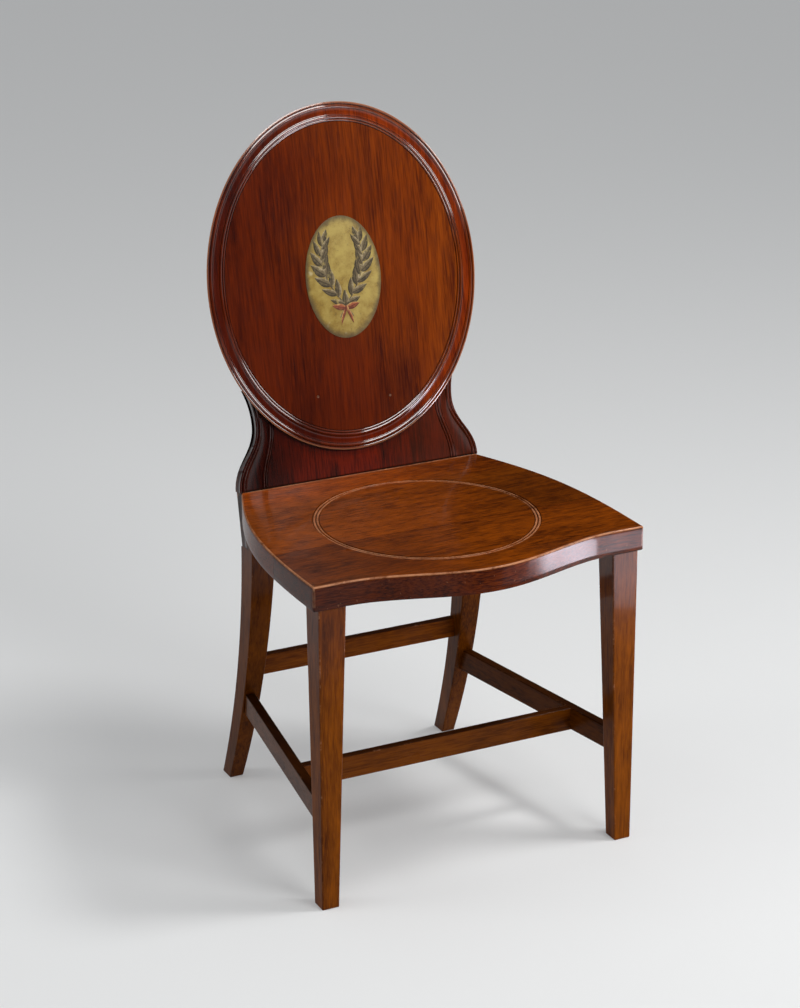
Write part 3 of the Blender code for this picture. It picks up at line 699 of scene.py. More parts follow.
def bead(start, width, base, crest):
    angles = [math.pi * k / BEAD_STEPS for k in range(BEAD_STEPS + 1)]
    return [(start + width * (1 - math.cos(a)) / 2, base + (crest - base) * math.sin(a)) for a in angles]


def low_bead(start, width, foot, after):
    """A shallow bead with nearly flat sides, as (inset, height, wear) points from one foot to the other."""
    points = []
    for share, part in LOW_BEAD:
        height = foot + (after - foot) * share + LOW_BEAD_RISE * width * part
        points.append((start + width * share, height, 0.5 * part**4))
    return points


def groove(start, width, floor):
    return [(start + width * share, floor, 0.0) for share in (0.3, 0.7)]


def border(hollow_width):
    """The moulding from the edge to the field, as (inset, height over the field, wear) points."""
    s = sizes()
    narrow = s.quirk * 0.7
    points = low_bead(0.0, s.edge_bead, 0.0016, 0.0016)
    points += groove(s.edge_bead, s.quirk, 0.0004)
    place = s.edge_bead + s.quirk
    points += low_bead(place, s.shoulder_bead, 0.0015, 0.0013)
    place += s.shoulder_bead
    points += groove(place, narrow, 0.0002)
    place += narrow
    for share in HOLLOW_SHARES:
        rise = 0.00085 + 0.0004 * abs(2 * share - 1) ** 4
        points.append((place + hollow_width * share, rise - 0.0003 * share, 0.0))
    place += hollow_width
    points += groove(place, narrow, -0.0002)
    place += narrow
    points += low_bead(place, s.inner_bead, 0.0009, 0.0007)
    place += s.inner_bead
    points += groove(place, s.quirk, -0.0006)
    place += s.quirk
    points += low_bead(place, s.fine_bead, 0.0005, 0.0003)
    place += s.fine_bead
    points += groove(place, s.quirk, -0.0010)
    place += s.quirk
    return points + [(place, 0.0, 0.0), (place + 0.003, 0.0, 0.0)]


def rubbed_border(depths):
    """Wear of the border by depth, from (depth, wear) pairs: the beads' crests are rubbed, the rest isn't."""
    wear = {round(depth, 5): share for depth, share in depths}
    return lambda place: wear.get(round(place.y, 5))


def oval_solid(name, rings):
    """A stack of ovals, each (inset from the edge, depth behind the splat's face), drawn out ring by ring."""
    s = sizes()
    wide, high = s.oval_width / 2, s.oval_height / 2
    clear_selection()
    bpy.ops.mesh.primitive_circle_add(
        vertices=OVAL_SIDES, radius=1.0, fill_type="NGON", rotation=(math.pi / 2, 0.0, 0.0)
    )
    piece = adopt(name)
    apply_place(piece)
    edit()
    pick_all()
    centre = (0.0, 0.0, 0.0)
    inset, depth = rings[0]
    bpy.ops.transform.resize(value=(wide - inset, 1.0, high - inset), center_override=centre)
    bpy.ops.transform.translate(value=(0.0, depth, 0.0))
    for after, behind in rings[1:]:
        draw_out(0.0, behind - depth, 0.0)
        scale = ((wide - after) / (wide - inset), 1.0, (high - after) / (high - inset))
        bpy.ops.transform.resize(value=scale, center_override=centre)
        inset, depth = after, behind
    turn_out()
    leave()
    piece.location.z = s.oval_centre
    apply_place(piece)
    return piece


def back_dull(shine):
    """The polish of the back's pieces: bright in front, dull behind and in the grooves."""

    def polished(tree):
        front = ramp(tree, parts_of(tree, oval_place(tree))[1], 0.0035, 0.006, shine, 0.12)
        return sums(tree, "MULTIPLY", front, ramp(tree, attribute(tree, "groove"), 0.1, 0.7, 1.0, 0.1))

    return polished


def drill_pins(piece, leaned=False):
    """Drills the holes of the two pins through a piece of the back, upright or leaned."""
    reach = Vector((0.0, DRILL_REACH, 0.0))
    for _, word in SIDES:
        low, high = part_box(f"panel_pin_{word}")
        middle = Matrix.Rotation(sizes().rake, 3, "X") @ ((low + high) / 2 - back_foot())
        drill = rod(f"pin_drill_{word}", (high.x - low.x) / 2 + GAP, middle - reach, middle + reach)
        if leaned:
            lean(drill)
        carve(piece, drill)


class HALLCHAIR_OT_oval_panel(bpy.types.Operator):
    """Models the oval of the back with its moulded border"""

    bl_idname = "hallchair.oval_panel"
    bl_label = "Oval Panel"

    def execute(self, context):
        s, c = sizes(), colours()
        profile = [(inset, -s.oval_proud - rise, wear) for inset, rise, wear in border(s.hollow)]
        rings = [(s.oval_bevel, s.board)] + [(inset, depth) for inset, depth, _ in profile]
        panel = oval_solid("oval_panel_wood", rings)
        only(panel)
        edit()
        line_edges([lambda face: face.normal.y > 0.9 and face.calc_area() > 0.01])
        leave()
        mark_bends(panel, rubbed_border([(depth, wear) for _, depth, wear in profile]))
        low = s.oval_centre - s.oval_height / 2
        tongue = block(
            "tongue_room",
            (-TONGUE_HALF - GAP, s.board - TONGUE_THICKNESS - GAP, low - s.oval_bevel),
            (TONGUE_HALF + GAP, s.board + OVERCUT, low + TONGUE_REACH + GAP),
        )
        carve(panel, tongue)
        drill_pins(panel)
        lean(panel)

        def toned(tree, base):
            x, _, z = parts_of(tree, oval_place(tree))
            # Painted shade: the oval is made darker and redder towards its lower left.
            cloud = noise(tree, placed(tree), detail=2.0, scale=7.0)
            place = sums(tree, "MULTIPLY_ADD", z, 0.4, x)
            place = sums(tree, "MULTIPLY_ADD", cloud, 0.24, sums(tree, "ADD", place, -0.12))
            painted_shade_red = tinted(tree, base, (0.57, 0.38, 0.45))
            base = blend(tree, ramp(tree, place, -0.10, 0.12), painted_shade_red, base)
            share = oval_place(tree, (2 / s.oval_width, 0.0, 2 / s.oval_height))
            radius = radius_of(tree, share)
            inside, outside = ramp(tree, radius, 0.900, 0.925), ramp(tree, radius, 0.970, 0.955)
            hollow = sums(tree, "MULTIPLY", inside, outside)
            # Painted light: the right of the field is made lighter and more golden.
            golden = tinted(tree, base, (1.30, 1.50, 1.0))
            field = ramp(tree, radius, 0.86, 0.90, 1.0, 0.0)
            base = blend(tree, sums(tree, "MULTIPLY", ramp(tree, x, 0.10, 0.17), field), base, golden)
            # Painted shade darkens the hollow on the left, and painted light brightens it on the right.
            depth = blend(tree, ramp(tree, x, -0.12, 0.08), (0.68, 0.50, 0.5), (1.30, 0.95, 0.5))
            hollow_shade_and_light = tinted(tree, base, depth)
            base = blend(tree, hollow, base, hollow_shade_and_light)
            patchy = ramp(tree, cloud, 0.25, 0.6, 0.25, 0.60)
            rim = sums(tree, "MULTIPLY", ramp(tree, radius, 0.990, 0.996), patchy)
            return blend(tree, rim, base, c.worn)

        wood = mahogany(
            "panel_wood",
            (s.rake, 0.0, 0.0),
            c.panel_dark,
            c.panel_light,
            wear=0.26,
            figure=0.45,
            ribbon=0.6,
            streak=1.1,
            short=0.7,
            pores=0.28,
            wax=1.0,
            coat_index=1.65,
            toned=toned,
            glossed=back_dull(1.0),
        )
        polish(panel, wood, "panel_mahogany", "oval_panel")
        return {"FINISHED"}


def curve_value(start, start_handle, end_handle, end, share):
    rest = 1 - share
    return (
        start * rest**3
        + 3 * start_handle * rest**2 * share
        + 3 * end_handle * rest * share**2
        + end * share**3
    )


def splat_levels():
    """Levels of the splat: height, half width, width of the hollow, back bevel, and if it is moulded."""
    s = sizes()
    base, waist, top = s.splat_base / 2, s.splat_waist / 2, s.splat_top / 2
    foot = s.seat_back / 2
    levels = [(height, foot, s.base_hollow, BACK_ARRIS, False) for height in (-s.splat_foot, -GAP)]
    for k in range(OGEE_STEPS + 1):
        share = k / OGEE_STEPS
        height = curve_value(GAP, OGEE_HANDLE, s.waist_height - OGEE_HANDLE, s.waist_height, share)
        half = curve_value(base, base, waist, waist, share)
        wide = curve_value(s.base_hollow, s.base_hollow, s.waist_hollow, s.waist_hollow, share)
        bevel = curve_value(BACK_ARRIS, BACK_ARRIS, s.splat_bevel, s.splat_bevel, share)
        levels.append((height, half, wide, bevel, True))
    for k in range(1, FLARE_STEPS + 1):
        share = k / FLARE_STEPS
        height = s.waist_height + (s.splat_height - s.waist_height) * share
        levels.append((height, waist + (top - waist) * share**2, s.waist_hollow, s.splat_bevel, True))
    return levels


def splat_front(half, hollow_width, moulded):
    """Points of one level across the splat's front, from left to right, as (x, depth)."""
    left = [(-half + inset, FIELD_SINK - rise if moulded else 0.0) for inset, rise, _ in border(hollow_width)]
    return left + [(-x, y) for x, y in reversed(left)]


class HALLCHAIR_OT_splat(bpy.types.Operator):
    """Models the waisted splat under the oval, with its moulded borders and its foot behind the seat"""

    bl_idname = "hallchair.splat"
    bl_label = "Lower Splat"

    def execute(self, context):
        s, c = sizes(), colours()
        levels = splat_levels()
        across = len(splat_front(levels[0][1], levels[0][2], True))
        clear_selection()
        bpy.ops.mesh.primitive_grid_add(x_subdivisions=across - 1, y_subdivisions=len(levels) - 1, size=2.0)
        splat = adopt("splat_wood")
        rows = [splat_front(half, wide, moulded) for _, half, wide, _, moulded in levels]
        bevels = {}
        for vert in splat.data.vertices:
            column = round((vert.co.x + 1) / 2 * (across - 1))
            row = round((vert.co.y + 1) / 2 * (len(levels) - 1))
            x, y = rows[row][column]
            vert.co = (x, y, levels[row][0])
            bevels[round(levels[row][0], 6)] = (levels[row][1], levels[row][3])
        edit()
        pick_all()
        for last in (False, True):
            draw_out(0.0, s.board, 0.0)
            shape = bmesh.from_edit_mesh(splat.data)
            for vert in shape.verts:
                if vert.select:
                    half, bevel = bevels[round(vert.co.z, 6)]
                    vert.co.y = s.board if last else s.board - bevel
                    if last and abs(vert.co.x) > half - MERGE:
                        vert.co.x = math.copysign(half - bevel, vert.co.x)
            bmesh.update_edit_mesh(splat.data)
        turn_out()
        leave()
        edge_depth = -s.oval_proud - OVAL_EDGE_RISE
        slope = s.oval_bevel / (s.board - edge_depth)
        past = s.board + OVERCUT
        room = oval_solid(
            "oval_room",
            [
                (slope * (past - edge_depth) - 2 * GAP, past),
                (-2 * GAP, edge_depth),
                (-2 * GAP, edge_depth - OVERCUT),
            ],
        )
        carve(splat, room)
        low = s.oval_centre - s.oval_height / 2
        tongue = block(
            "tongue",
            (-TONGUE_HALF, s.board - TONGUE_THICKNESS, low - s.oval_bevel),
            (TONGUE_HALF, s.board - TONGUE_SINK, low + TONGUE_REACH),
        )
        carve(splat, tongue, "UNION")
        mark_bends(splat, rubbed_border([(FIELD_SINK - rise, wear) for _, rise, wear in border(s.base_hollow)]))
        lean(splat)
        drill_pins(splat, leaned=True)
        for _, word in SIDES:
            for number in (1, 2):
                low_corner, high_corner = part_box(f"back_screw_{word}_{number}")
                middle = (low_corner + high_corner) / 2
                head = Vector((middle.x, high_corner.y + SCREW_CLEAR, low_corner.z + SCREW_HEAD_RISE))
                tail = Vector((middle.x, high_corner.y - SCREW_HEAD_DEPTH, head.z))
                hole = rod(f"screw_hole_{word}_{number}", SCREW_HEAD_RADIUS, tail, head)
                carve(splat, hole)

        def toned(tree, base):
            x = parts_of(tree, placed(tree))[0]
            cloud = noise(tree, placed(tree), detail=2.0, scale=9.0)
            place = sums(tree, "MULTIPLY_ADD", cloud, 0.25, sums(tree, "ADD", x, -0.12))
            browner = blend(tree, 0.5, base, (0.070, 0.017, 0.004))
            base = blend(tree, ramp(tree, place, 0.0, 0.16), base, browner)
            # Painted shade: the splat is darkened towards its left.
            painted_shade = tinted(tree, base, (0.25, 0.28, 0.35))
            return blend(tree, ramp(tree, place, -0.13, 0.0), painted_shade, base)

        wood = mahogany(
            "splat_wood",
            (s.rake, 0.0, 0.0),
            c.splat_dark,
            c.splat_light,
            wear=0.30,
            streak=1.3,
            wax=1.0,
            coat_index=1.7,
            toned=toned,
            glossed=back_dull(0.9),
        )
        polish(splat, wood, "splat_mahogany", "lower_splat")
        return {"FINISHED"}


# Seat


def seat_side(share):
    """One point of the seat's right side, from the front corner to the back."""
    s = sizes()
    front, back = s.seat_front / 2, s.seat_back / 2
    x = curve_value(
        front,
        front + s.side_front_handle * math.sin(s.side_front_flare),
        back + s.side_back_handle * math.sin(s.side_back_angle),
        back,
        share,
    )
    y = curve_value(
        0.0,
        s.side_front_handle * math.cos(s.side_front_flare),
        s.seat_depth - s.side_back_handle * math.cos(s.side_back_angle),
        s.seat_depth,
        share,
    )
    return x, y


def seat_front_curve(x):
    s = sizes()
    if abs(x) >= s.serpentine / 2:
        return 0.0
    return -s.seat_bow * math.cos(math.pi * x / s.serpentine) ** 2


def ring_tool():
    """The scratch tool's path round the seat: three grooves with two flush beads between them."""
    s = sizes()
    half = s.ring_bead + 1.5 * s.ring_quirk
    low = [(-half, 0.0), (-half + s.ring_quirk / 2, -s.ring_sink)]
    low += bead(-s.ring_quirk / 2 - s.ring_bead, s.ring_bead, -s.ring_sink, RING_CREST)
    low += bead(s.ring_quirk / 2, s.ring_bead, -s.ring_sink, RING_CREST)
    low += [(half - s.ring_quirk / 2, -s.ring_sink), (half, 0.0)]
    profile = low + [(half, s.ring_sink), (-half, s.ring_sink)]
    clear_selection()
    bpy.ops.mesh.primitive_circle_add(vertices=len(profile), radius=1.0, fill_type="NOTHING")
    tool = adopt("ring_tool")
    for vert, (out, up) in zip(tool.data.vertices, profile):
        vert.co = (s.ring_radius + out, s.ring_depth, s.seat_height + up)
    edit()
    pick_all()
    bpy.ops.mesh.spin(
        steps=RING_SIDES, angle=2 * math.pi, center=(0.0, s.ring_depth, s.seat_height), axis=(0.0, 0.0, 1.0)
    )
    turn_out()
    leave()
    return tool


class HALLCHAIR_OT_seat(bpy.types.Operator):
    """Models the two boards of the seat with its serpentine front, rounded edge and ring of beads"""

    bl_idname = "hallchair.seat"
    bl_label = "Seat Boards"

    def execute(self, context):
        s, c = sizes(), colours()
        clear_selection()
        bpy.ops.mesh.primitive_grid_add(x_subdivisions=SEAT_COLUMNS, y_subdivisions=SEAT_ROWS, size=2.0)
        seat = adopt("seat_wood")
        for vert in seat.data.vertices:
            across, share = vert.co.x, (vert.co.y + 1) / 2
            half, depth = seat_side(share)
            front = seat_front_curve(across * s.seat_front / 2)
            vert.co = (across * half, depth + front * (1 - share), s.seat_height)
        edit()
        pick_all()
        for drop in (SEAT_LIP, s.seat_thickness - 2 * SEAT_LIP, SEAT_LIP):
            draw_out(0.0, 0.0, -drop)
        turn_out()

        def rim(edge, level):
            flat = all(abs(vert.co.z - level) < GAP for vert in edge.verts)
            upright = any(abs(face.normal.z) < 0.5 for face in edge.link_faces)
            at_back = all(abs(vert.co.y - s.seat_depth) < GAP for vert in edge.verts)
            return flat and upright and not at_back

        def corner(edge):
            upright = abs(edge.verts[0].co.z - edge.verts[1].co.z) > SEAT_LIP / 2
            return upright and abs(edge.verts[0].co.x) > s.seat_front / 2 - GAP and edge.verts[0].co.y < GAP

        pick("EDGE", corner)
        bpy.ops.mesh.bevel(offset=SEAT_CORNER_EASE, segments=3, affect="EDGES")
        pick("EDGE", lambda edge: rim(edge, s.seat_height))
        bpy.ops.mesh.bevel(offset=s.seat_round, segments=4, affect="EDGES")
        pick("EDGE", lambda edge: rim(edge, s.seat_height - s.seat_thickness))
        bpy.ops.mesh.bevel(offset=SEAT_LOWER_EASE, segments=2, affect="EDGES")
        leave()
        carve(seat, ring_tool())
        middle = Vector((0.0, s.ring_depth))
        reach = s.ring_radius + 0.02
        low_edge = s.seat_height - s.seat_thickness + 0.003

        def rubbed(place):
            sunk = s.seat_height - place.z
            if place.z < low_edge:
                return 0.0
            if (place.xy - middle).length < reach and sunk < 0.003:
                # The ring's bead crests get the pale worn colour, as wear and as a painted highlight.
                return RING_RUB_AND_HIGHLIGHT if 0.00005 < sunk < 0.0008 else 0.0
            if sunk > 2 * s.seat_round and abs(place.x) > s.seat_front / 2 - 0.004 and place.y < 0.004:
                return CORNER_RUB
            return None

        mark_bends(seat, rubbed)

        only(seat)
        bpy.ops.object.duplicate(linked=False)
        rear = adopt("seat_rear_wood")
        seat.name = "seat_front_wood"
        for piece, way in ((seat, 1.0), (rear, -1.0)):
            only(piece)
            edit()
            pick_all()
            place = (0.0, s.seat_joint - way * GAP / 2, 0.0)
            bpy.ops.mesh.bisect(plane_co=place, plane_no=(0.0, way, 0.0), use_fill=True, clear_outer=True)
            if piece is rear:
                pick_all()
                bpy.ops.mesh.bisect(
                    plane_co=(0.0, s.seat_depth - GAP, s.seat_height),
                    plane_no=(0.0, math.cos(s.rake), -math.sin(s.rake)),
                    use_fill=True,
                    clear_outer=True,
                )
            turn_out()
            leave()
            stand(piece)

        back_line = back_foot().y

        def under_rim(tree, z):
            return ramp(tree, z, s.seat_height - 0.0036, s.seat_height - 0.0022, 1.0, 0.0)

        def toned(dull, start, end, scratched):
            def change(tree, base):
                vector = placed(tree)
                x, y, z = parts_of(tree, vector)
                cloud = noise(tree, vector, detail=3.0, scale=8.0)
                across = sums(tree, "MULTIPLY_ADD", sums(tree, "SUBTRACT", cloud, 0.5), 0.22, x)
                duller = tinted(tree, base, dull)
                base = blend(tree, ramp(tree, across, start, end), duller, base)
                golden = tinted(tree, base, (1.35, 1.20, 1.0))
                base = blend(tree, ramp(tree, y, back_line - 0.09, back_line - 0.03), base, golden)
                # Painted shade: the seat's front and sides, below its rounded edge, are darkened.
                painted_shade = tinted(tree, base, (0.66, 0.48, 0.60))
                below = under_rim(tree, z)
                base = blend(tree, below, base, painted_shade)
                nick = noise(tree, stretched(tree, vector, 300.0, 170.0), detail=1.0)
                nick = sums(tree, "MULTIPLY", ramp(tree, nick, 0.72, 0.78), below)
                return blend(tree, sums(tree, "MULTIPLY", nick, scratched), base, (0.30, 0.12, 0.05))

            return change

        def glossed(tree):
            vector = placed(tree)
            x, y, z = parts_of(tree, vector)
            smear = ramp(tree, noise(tree, vector, detail=3.0, scale=12.0), 0.35, 0.65, 0.05, 0.18)
            below = under_rim(tree, z)
            left_side = sums(tree, "MULTIPLY", below, ramp(tree, x, -0.08, 0.0, 0.16, -0.05))
            smear = sums(tree, "ADD", smear, left_side)
            front = ramp(tree, y, front_line() + 0.006, front_line() + 0.001)
            bow, right_end = ramp(tree, x, -0.06, 0.03, -0.05, 0.05), ramp(tree, x, 0.055, 0.085, 0.0, 0.55)
            front = sums(tree, "MULTIPLY", front, sums(tree, "ADD", bow, right_end))
            return sums(tree, "ADD", front, smear)

        finish = {
            "fine": 1.35,
            "short": 1.7,
            "figure": 0.6,
            "ribbon": 0.6,
            "streak": 2.2,
            "pores": 0.5,
            "wax": 0.55,
            "shine": 0.04,
            "coat_rough": 0.10,
            "glossed": glossed,
        }
        front_wood = mahogany(
            "seat_front_wood",
            ALONG_X,
            [0.75 * v for v in c.seat_dark],
            [0.90 * v for v in c.seat_light],
            wear=0.58,
            toned=toned((0.66, 0.62, 0.85), -0.20, 0.04, 0.35),
            **finish,
        )
        rear_wood = mahogany(
            "seat_rear_wood",
            ALONG_X,
            c.seat_dark,
            c.seat_light,
            wear=0.52,
            toned=toned((0.62, 0.66, 0.75), 0.17, 0.03, 0.25),
            **finish,
        )
        polish(seat, front_wood, "seat_mahogany", "seat_front_board")
        polish(rear, rear_wood, "seat_mahogany", "seat_rear_board")
        return {"FINISHED"}


# Legs and stretchers


def broad_faces(least, ways=UPRIGHT_SIDES):
    """Tests for the broad faces of a leg or bar, one for each way that they look."""
    return [lambda face, way=way: face.normal.dot(way) > 0.8 and face.calc_area() > least for way in ways]


def leg_wood(name, share):
    """Mahogany of a pair of legs, glossier near the seat, and darkened there by painted shade."""
    c = colours()

    def under_seat(tree):
        return ramp(tree, parts_of(tree, placed(tree))[2], 0.27, 0.40)

    def toned(tree, base):
        # Painted shade: the legs are darkened under the seat.
        painted_shade = tinted(tree, base, (0.72, 0.62, 0.90))
        return blend(tree, under_seat(tree), base, painted_shade)

    def glossed(tree):
        x = parts_of(tree, placed(tree))[0]
        return sums(tree, "MULTIPLY_ADD", under_seat(tree), ramp(tree, x, -0.05, 0.05, 0.22, 0.45), 0.03)

    dark, light = ([share * v for v in shade] for shade in (c.leg_dark, c.leg_light))
    finish = {"wear": 0.30, "shine": 0.05, "pores": 0.32, "toned": toned, "glossed": glossed}
    return mahogany(name, (0.0, 0.0, 0.0), dark, light, **finish)


class HALLCHAIR_OT_front_legs(bpy.types.Operator):
    """Models the square tapered front legs"""

    bl_idname = "hallchair.front_legs"
    bl_label = "Front Legs"

    def execute(self, context):
        s = sizes()
        outer = s.seat_front / 2 - s.front_leg_inset
        front = FRONT_LEG_BOX[0].y - front_line()
        top = leg_top()
        clear_selection()
        bpy.ops.mesh.primitive_cube_add(size=1.0)
        leg = adopt("front_leg_right_wood")
        leg.scale = (s.front_leg_top, s.front_leg_top, top)
        leg.location = (outer - s.front_leg_top / 2, front + s.front_leg_top / 2, top / 2)
        apply_place(leg)
        edit()
        pick("FACE", lambda face: face.normal.z < -0.5)
        taper = s.front_leg_foot / s.front_leg_top
        bpy.ops.transform.resize(value=(taper, taper, 1.0), center_override=(outer, front, 0.0))
        pick("EDGE", lambda edge: abs(edge.verts[0].co.z - edge.verts[1].co.z) > top / 2)
        bpy.ops.mesh.bevel(offset=s.arris, segments=3, affect="EDGES")
        pick("FACE", lambda face: face.normal.z < -0.5)
        bpy.ops.mesh.bevel(offset=FOOT_EASE, segments=2, affect="EDGES")
        turn_out()
        line_edges(broad_faces(0.004))
        leave()
        stand(leg)
        other = mirrored(leg, "front_leg_left_wood")
        wood = leg_wood("front_leg_wood", 1.0)
        polish(leg, wood, "leg_mahogany", "front_leg_right")
        polish(other, wood, "leg_mahogany", "front_leg_left")
        return {"FINISHED"}


class HALLCHAIR_OT_rear_legs(bpy.types.Operator):
    """Models the rear legs, drawn up in short lifts along their sweep"""

    bl_idname = "hallchair.rear_legs"
    bl_label = "Rear Legs"

    def execute(self, context):
        s = sizes()
        outer = s.seat_back / 2
        top = leg_top()

        def level(k):
            share = 1 - k / LEG_LIFTS
            width = s.rear_leg_top + (s.rear_leg_foot - s.rear_leg_top) * share
            depth = s.rear_leg_top_depth + (s.rear_leg_foot_depth - s.rear_leg_top_depth) * share
            front = s.seat_depth - s.rear_leg_reach + s.rear_leg_sweep * share**2
            return width, depth, front, top * k / LEG_LIFTS

        width, depth, front, height = level(0)
        clear_selection()
        bpy.ops.mesh.primitive_plane_add(size=1.0)
        leg = adopt("rear_leg_right_wood")
        leg.scale = (width, depth, 1.0)
        leg.location = (outer - width / 2, front + depth / 2, 0.0)
        apply_place(leg)
        edit()
        pick_all()
        for k in range(1, LEG_LIFTS + 1):
            wide, deep, place, lifted = level(k)
            draw_out(0.0, place - front, lifted - height)
            scale = (wide / width, deep / depth, 1.0)
            bpy.ops.transform.resize(value=scale, center_override=(outer, place, lifted))
            width, depth, front, height = wide, deep, place, lifted
        turn_out()
        pick("EDGE", lambda edge: abs(edge.verts[0].co.z - edge.verts[1].co.z) > top / LEG_LIFTS / 2)
        bpy.ops.mesh.bevel(offset=s.arris, segments=3, affect="EDGES")
        pick("FACE", lambda face: face.normal.z < -0.9 and face.calc_center_median().z < GAP)
        bpy.ops.mesh.bevel(offset=FOOT_EASE, segments=2, affect="EDGES")
        turn_out()
        line_edges(broad_faces(0.0001))
        leave()
        stand(leg)
        low = (-SPLAT_ROOM_HALF, -GAP, -s.splat_foot - GAP)
        high = (SPLAT_ROOM_HALF, SPLAT_ROOM_DEPTH, SPLAT_ROOM_RISE)
        room = block("splat_room", low, high)
        lean(room)
        carve(leg, room)
        other = mirrored(leg, "rear_leg_left_wood")
        # The 0.7 darkens the rear legs' colours as painted shade.
        wood = leg_wood("rear_leg_wood", 0.7)
        polish(leg, wood, "leg_mahogany", "rear_leg_right")
        polish(other, wood, "leg_mahogany", "rear_leg_left")
        return {"FINISHED"}


def bar(name, size, turn, place):
    """A straight bar along X with eased edges, turned and set in place."""
    s = sizes()
    clear_selection()
    bpy.ops.mesh.primitive_cube_add(size=1.0)
    piece = adopt(name)
    piece.scale = size
    apply_place(piece)
    edit()
    pick("EDGE", lambda edge: abs(edge.verts[0].co.x - edge.verts[1].co.x) > size[0] / 2)
    bpy.ops.mesh.bevel(offset=s.arris, segments=3, affect="EDGES")
    turn_out()
    line_edges(broad_faces(0.0015, LYING_SIDES))
    leave()
    piece.rotation_euler.z = turn
    piece.location = place
    apply_place(piece)
    return piece


class HALLCHAIR_OT_stretchers(bpy.types.Operator):
    """Models the two side stretchers, the cross stretcher and the rear stretcher"""

    bl_idname = "hallchair.stretchers"
    bl_label = "Stretchers"

    def execute(self, context):
        s, c = sizes(), colours()
        low, high = SIDE_BAR_BOX
        level = (low.z + high.z) / 2
        top = leg_top()
        leg_size = s.front_leg_foot + (s.front_leg_top - s.front_leg_foot) * level / top
        share = 1 - level / top
        start = Vector((s.seat_front / 2 - s.front_leg_inset - BAR_FRONT_INSET, LEG_SETBACK + leg_size))
        reach = s.seat_depth - s.rear_leg_reach + s.rear_leg_sweep * share**2
        end = Vector((s.seat_back / 2 - BAR_REAR_INSET, reach))
        along = (end - start).normalized()
        inwards = Vector((-along.y, along.x))
        middle = (start + end) / 2 + inwards * s.bar_thickness / 2
        size = ((end - start).length + BAR_EMBED, s.bar_thickness, high.z - low.z)
        place = (middle.x, middle.y, level)
        side = bar("side_stretcher_right_wood", size, math.atan2(along.y, along.x), place)
        stand(side)
        other = mirrored(side, "side_stretcher_left_wood")
        bars = []
        for name, box in (("cross_stretcher_wood", CROSS_BAR_BOX), ("rear_stretcher_wood", REAR_BAR_BOX)):
            low, high = box
            size = high - low
            bars.append(bar(name, (size.x - BAR_SHORT, size.y, size.z), 0.0, (low + high) / 2))

        # Painted shade: each stretcher's top face is darkened, where the seat shades it.
        def dust_and_shade(top):
            def change(tree, base):
                z = parts_of(tree, placed(tree))[2]
                painted_shade = tinted(tree, base, (0.30, 0.28, 0.35))
                return blend(tree, ramp(tree, z, top - 0.0016, top - 0.0004), base, painted_shade)

            return change

        woods = {}
        # The shares scale the leg colours as painted shade and light: darker side and cross stretchers, a
        # lighter rear one.
        for name, turn, top, share in (
            ("side_stretcher_wood", ALONG_Y, SIDE_BAR_BOX[1].z, 0.55),
            ("cross_stretcher_wood", ALONG_X, CROSS_BAR_BOX[1].z, 0.66),
            ("rear_stretcher_wood", ALONG_X, REAR_BAR_BOX[1].z, 1.22),
        ):
            dark, light = ([share * v for v in shade] for shade in (c.leg_dark, c.leg_light))
            finish = {"wear": 0.26, "coat": 0.04, "shine": 0.06, "pores": 0.32, "toned": dust_and_shade(top)}
            woods[name] = mahogany(name, turn, dark, light, **finish)
        polish(side, woods["side_stretcher_wood"], "leg_mahogany", "side_stretcher_right")
        polish(other, woods["side_stretcher_wood"], "leg_mahogany", "side_stretcher_left")
        polish(bars[0], woods["cross_stretcher_wood"], "leg_mahogany", "cross_stretcher")
        polish(bars[1], woods["rear_stretcher_wood"], "leg_mahogany", "rear_stretcher")
        return {"FINISHED"}


# Painted oval


def oval_place(tree, scale=(1.0, 1.0, 1.0)):
    """Coordinates on the painted oval: its middle is zero, X goes across and Z up its slope."""
    s = sizes()
    centre = back_foot() + Matrix.Rotation(-s.rake, 3, "X") @ Vector((0.0, 0.0, s.oval_centre))
    flat = placed(tree, (s.rake, 0.0, 0.0), -(Matrix.Rotation(s.rake, 3, "X") @ centre))
    return scaled(tree, flat, scale)


